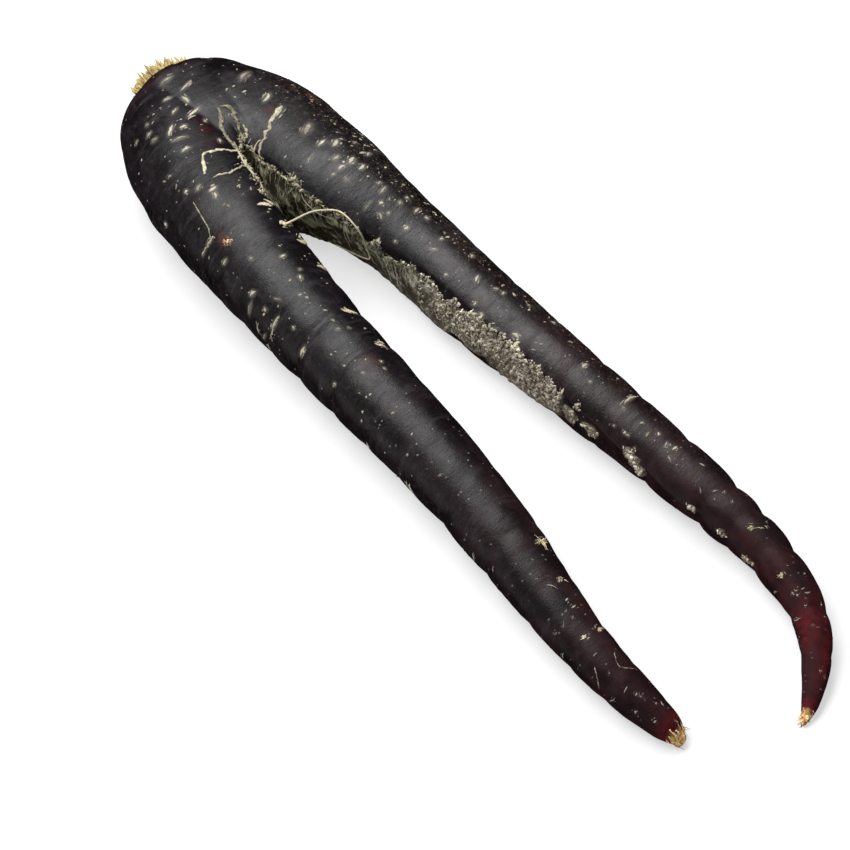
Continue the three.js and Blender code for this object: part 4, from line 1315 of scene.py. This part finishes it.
def nodules_mesh(finish):
    """Each nodule is a handful of grains heaped up round its place on the lip."""
    groups, many = [], 9
    for sign, place, above, size, tone in NODULES:
        side = SIDES[sign]
        at = place + 0.45 * size * rng.normal(size=many)
        angle = side.lip(at) + np.radians(above + 1.5 * size * rng.normal(size=many))
        groups.append((side.point(at, angle, 0.1), side.outward(at, angle),
                       size * rng.uniform(0.35, 0.9, many),
                       0.75 * tone * rng.uniform(0.4, 1.2, many)))
    crumbs_mesh("lip_nodules", finish, groups)


# Thin roots: places as side, station, angle and height above the skin, then width and tone
THREADS = [
    ([(-1, 76.4, 58, 0.3), (1, 73.4, 29, 0.8), (1, 77.8, 40, 0.6), (1, 82.3, 36, 0.5),
      (1, 84, 29, 0.5), (1, 85.5, 4, 0.6), (1, 84.5, -16, 0.8), (1, 80, -26, 1.0),
      (1, 74, -32, 1.2)], 0.62, 0.85),
    ([(1, 66, 46, 0.1), (1, 68, 30, 0.5), (1, 72, 20, 0.4), (1, 76, 22, 0.3)], 0.34, 0.5),
    ([(-1, 189, 98, 0.0), (-1, 190, 92, 0.4), (-1, 191, 86, 0.0)], 0.2, 0.5),
]


def threads_mesh(finish):
    """Thin rootlets, each smooth through its places and thinner towards its end."""
    rows, sides = 40, 7
    paths = []
    for places, _, _ in THREADS:
        knots = np.array([SIDES[s].point(a, np.radians(g), h) for s, a, g, h in places])
        paths.append(evenly(knots, np.linalg.norm(np.diff(knots, axis=0), axis=1), rows))
    paths = np.array(paths)
    ups = np.array([0.1, 0.2, 1.0])
    widths, tones = np.array([row[1:] for row in THREADS]).T
    width = widths[:, None] * np.linspace(1, 0.6, rows)
    points, faces = tubes(paths, ups, width, 0.8 * width, sides)
    tone = tones[:, None, None] + 0.1 * rng.normal(size=points.shape[:3])
    dry_piece("rootlets", points, faces, finish, tone)


def knot_mesh(finish):
    """A rust-brown knot where a side root broke off: a ring of grains round a pale one."""
    side, place, count = SIDES[-1], 73.5, 46
    turn = rng.uniform(0, 2 * np.pi, count)
    far = 1.25 * rng.random(count) ** 0.6
    at = place + far * np.cos(turn)
    angle = np.radians(125) + far * np.sin(turn) / side.section(place).high
    tone = np.where(far < 0.45, 1.0, rng.uniform(0, 0.55, count))
    size = rng.uniform(0.35, 0.75, count)
    group = side.point(at, angle), side.outward(at, angle), size, tone
    crumbs_mesh("side_root_knot", finish, [group])


# ---- the stubs of the leaf stalks ------------------------------------------------------

# Angle round the crown's axis, distance of the foot from it, width, thickness, length, lean
STUBS = [
    (14, 4.7, 4.8, 1.5, 6.7, 8), (86, 4.5, 4.7, 1.4, 6.1, 7), (158, 4.7, 4.9, 1.6, 7, 9),
    (230, 4.6, 4.7, 1.4, 5.4, 8), (302, 4.6, 4.8, 1.5, 6, 9), (52, 1.7, 3.4, 1.2, 6.4, 3),
    (232, 1.7, 3.4, 1.2, 5.6, 3),
]
STUB_FOOT_X, STUB_END_X = -110.9, -118.35
STUB_ROWS = 34
STUB_SIDES = 44
STUB_RECESS = [(0.86, 0.05), (0.6, 0.35), (0.25, 0.5), (0.04, 0.5)]  # share of size, depth


def stub_mesh(index, finish):
    """One stub: a crescent carried outwards from inside the crown, leaning away from its
    axis and narrowing, with ribs along its outer face and a ragged, sunken cut end."""
    angle, distance, width, thickness, length, lean = STUBS[index]
    direction = np.radians(angle)
    outward = np.array([0, np.cos(direction), np.sin(direction)])
    across = np.array([0, -np.sin(direction), np.cos(direction)])
    rows = [(share, 1, 0) for share in np.linspace(-0.3, 1, STUB_ROWS)]
    rows += [(1, inset, recess) for inset, recess in STUB_RECESS]
    share, inset, recess = np.array(rows).T[..., None]
    turn = 2 * np.pi * np.arange(STUB_SIDES) / STUB_SIDES
    u = np.cos(turn)
    face = np.sign(np.sin(turn)) * np.abs(np.sin(turn)) ** 0.7
    seed = np.stack(np.broadcast_arrays(6 * share, 3 * u, 3 * np.sin(turn) + 9 * index), -1)
    taper = 1 - 0.12 * share + 0.25 * np.clip(-share / 0.3 + 0.4, 0, 1)
    ribs = 0.07 * np.cos(17 * u + index) * (face > 0) + 0.09 * noise(seed, (3, 0.5, 0.5), 61)
    frayed = 0.05 * noise(seed, (1.2, 0.3, 0.3), 62)
    half = 0.5 * thickness * face * (1 - 0.55 * u * u) + (ribs + frayed) * np.sign(face)
    depth = half * inset - 0.16 * width * u * u * inset
    ragged = 0.4 * (u + np.sin(2.3 * index + 4.1 * u)) + 0.7 * noise(seed, (9, 0.35, 2), 63)
    reach = (length + ragged * np.clip(share, 0, 1) ** 2 * inset) * share - recess
    out = distance + np.tan(np.radians(lean)) * length * share + taper * depth
    aside = 0.5 * width * taper * u * inset
    points = outward * out[..., None] + across * aside[..., None]
    points[..., 0] = np.maximum(STUB_FOOT_X - reach, STUB_END_X)
    points += [0, MIDDLE_Y, CROWN_AXIS]
    # Tone: lighter along the ribs and near the rim of the cut end; darker towards the foot inside
    # the crown and in the sunken cut end, which is painted shade.
    tone = 0.55 + 0.25 * ribs / 0.1 - 0.35 * (1 - smoothstep(share, -0.1, 0.35))
    tone = tone - 0.5 * recess / 0.5 + 0.25 * smoothstep(share, 0.8, 1.0) * (recess == 0)
    faces = [face[::-1] for face in tube_faces(1, len(share), STUB_SIDES)]
    dry_piece(f"stalk_{index + 1}", points, faces, finish, tone, f"stalk_stub_{index + 1}")


# ---- floor, light and camera -----------------------------------------------------------


def seen(f):
    """1 for a ray from the camera or one that a glossy or clear surface sends on."""
    path = f.node("LightPath")
    names = "Is Camera Ray", "Is Glossy Ray", "Is Transmission Ray"
    rays = [Value(f, path.outputs[name]) for name in names]
    return (rays[0] + rays[1] + rays[2]).clamped()


def floor_and_light():
    """A pale floor, one large soft lamp above and a little behind, and a white surround."""
    f = Finish("pale floor")
    cloth = f.node("BsdfDiffuse", {"Color": (0.8, 0.8, 0.8, 1)})
    glow = f.node("Emission", {"Color": (1, 1, 1, 1), "Strength": 1.0})
    both = f.node("MixShader", [seen(f) * 0.6, cloth.outputs[0], glow.outputs[0]])
    f.node("OutputMaterial", [both.outputs[0]])
    size, drop = 4.0, -0.0001
    mesh = bpy.data.meshes.new("floor")
    corners = [(-size, -size, drop), (size, -size, drop), (size, size, drop), (-size, size, drop)]
    mesh.from_pydata(corners, [], [(0, 1, 2, 3)])
    mesh.materials.append(f.material)
    add("floor", mesh)

    lamp = bpy.data.lights.new("softbox", "AREA")
    lamp.shape = "RECTANGLE"
    lamp.size, lamp.size_y = 0.95, 0.4
    lamp.energy = 16.5
    above = add("softbox", lamp)
    above.location = (-0.38, -0.08, 0.81)
    above.rotation_euler = above.location.to_track_quat("Z", "Y").to_euler()

    world = bpy.data.worlds.new("surround")
    bpy.context.scene.world = world
    f = Finish("surround", world)
    white = Value(f, f.node("LightPath").outputs["Is Camera Ray"])
    glow = f.node("Background", {"Color": (1, 1, 1, 1), "Strength": 0.1 + 0.9 * white})
    f.node("OutputWorld", [glow.outputs[0]])


def camera():
    """Looks down at the carrot from the side of the short leg's tip."""
    target = Vector((10.0, -14.2, 8.0)) * MM
    azimuth, elevation, distance = np.radians(52.6), np.radians(50.0), 531.25 * MM
    back = Vector((
        np.sin(azimuth) * np.cos(elevation),
        -np.cos(azimuth) * np.cos(elevation),
        np.sin(elevation),
    ))
    lens = bpy.data.cameras.new("camera")
    lens.lens, lens.sensor_width = 100.0, 36.0
    eye = add("camera", lens)
    eye.location = target + back * distance
    eye.rotation_euler = back.to_track_quat("Z", "Y").to_euler()
    bpy.context.scene.camera = eye


# ---- everything together ---------------------------------------------------------------

camera()
floor_and_light()
skin = skin_finish()
cork = dry_finish("pale cork", (0.045, 0.04, 0.032), (0.52, 0.475, 0.365))
soil = dry_finish("dry soil", (0.045, 0.037, 0.02), (0.42, 0.37, 0.26))
crumb = dry_finish("cork crumb", (0.15, 0.118, 0.08), (0.90, 0.83, 0.66))
cord = dry_finish("healed cord", (0.06, 0.055, 0.03), (0.62, 0.56, 0.38))
wall = dry_finish("wall fibre", (0.07, 0.066, 0.036), (0.66, 0.62, 0.44))
fibre = dry_finish("golden fibre", (0.42, 0.18, 0.045), (0.98, 0.80, 0.44))
straw = dry_finish("straw fibre", (0.20, 0.16, 0.06), (0.85, 0.76, 0.42))
rust = dry_finish("rusty knot", (0.12, 0.04, 0.014), (0.8, 0.58, 0.34))
stalk = dry_finish("dry stalk", (0.10, 0.062, 0.02), (0.50, 0.38, 0.14), 1.4)

root_mesh(skin)
marks_mesh("healed_cracks", MARKS, cork, 11, 8, shards=3)
marks_mesh("cracks_behind", scattered_cracks(70), cork, 9, 6, shards=3)
marks_mesh("lip_flakes", FLAKES, cord, 13, 10, shards=2)
marks_mesh("flecks", scattered_flecks(170), cork, 5, 6)
marks_mesh("specks", clustered_specks(), soil, 5, 6)
cords_mesh(cord)
lip_shreds(cord)
wall_fibres(wall)
scar_crumbs(crumb)
nodules_mesh(cord)
tufts_mesh(straw)
tip_fibres(fibre)
crown_fibres(stalk)
threads_mesh(cord)
knot_mesh(rust)
for i in range(len(STUBS)):
    stub_mesh(i, stalk)

bpy.context.scene.view_settings.view_transform = "Standard"
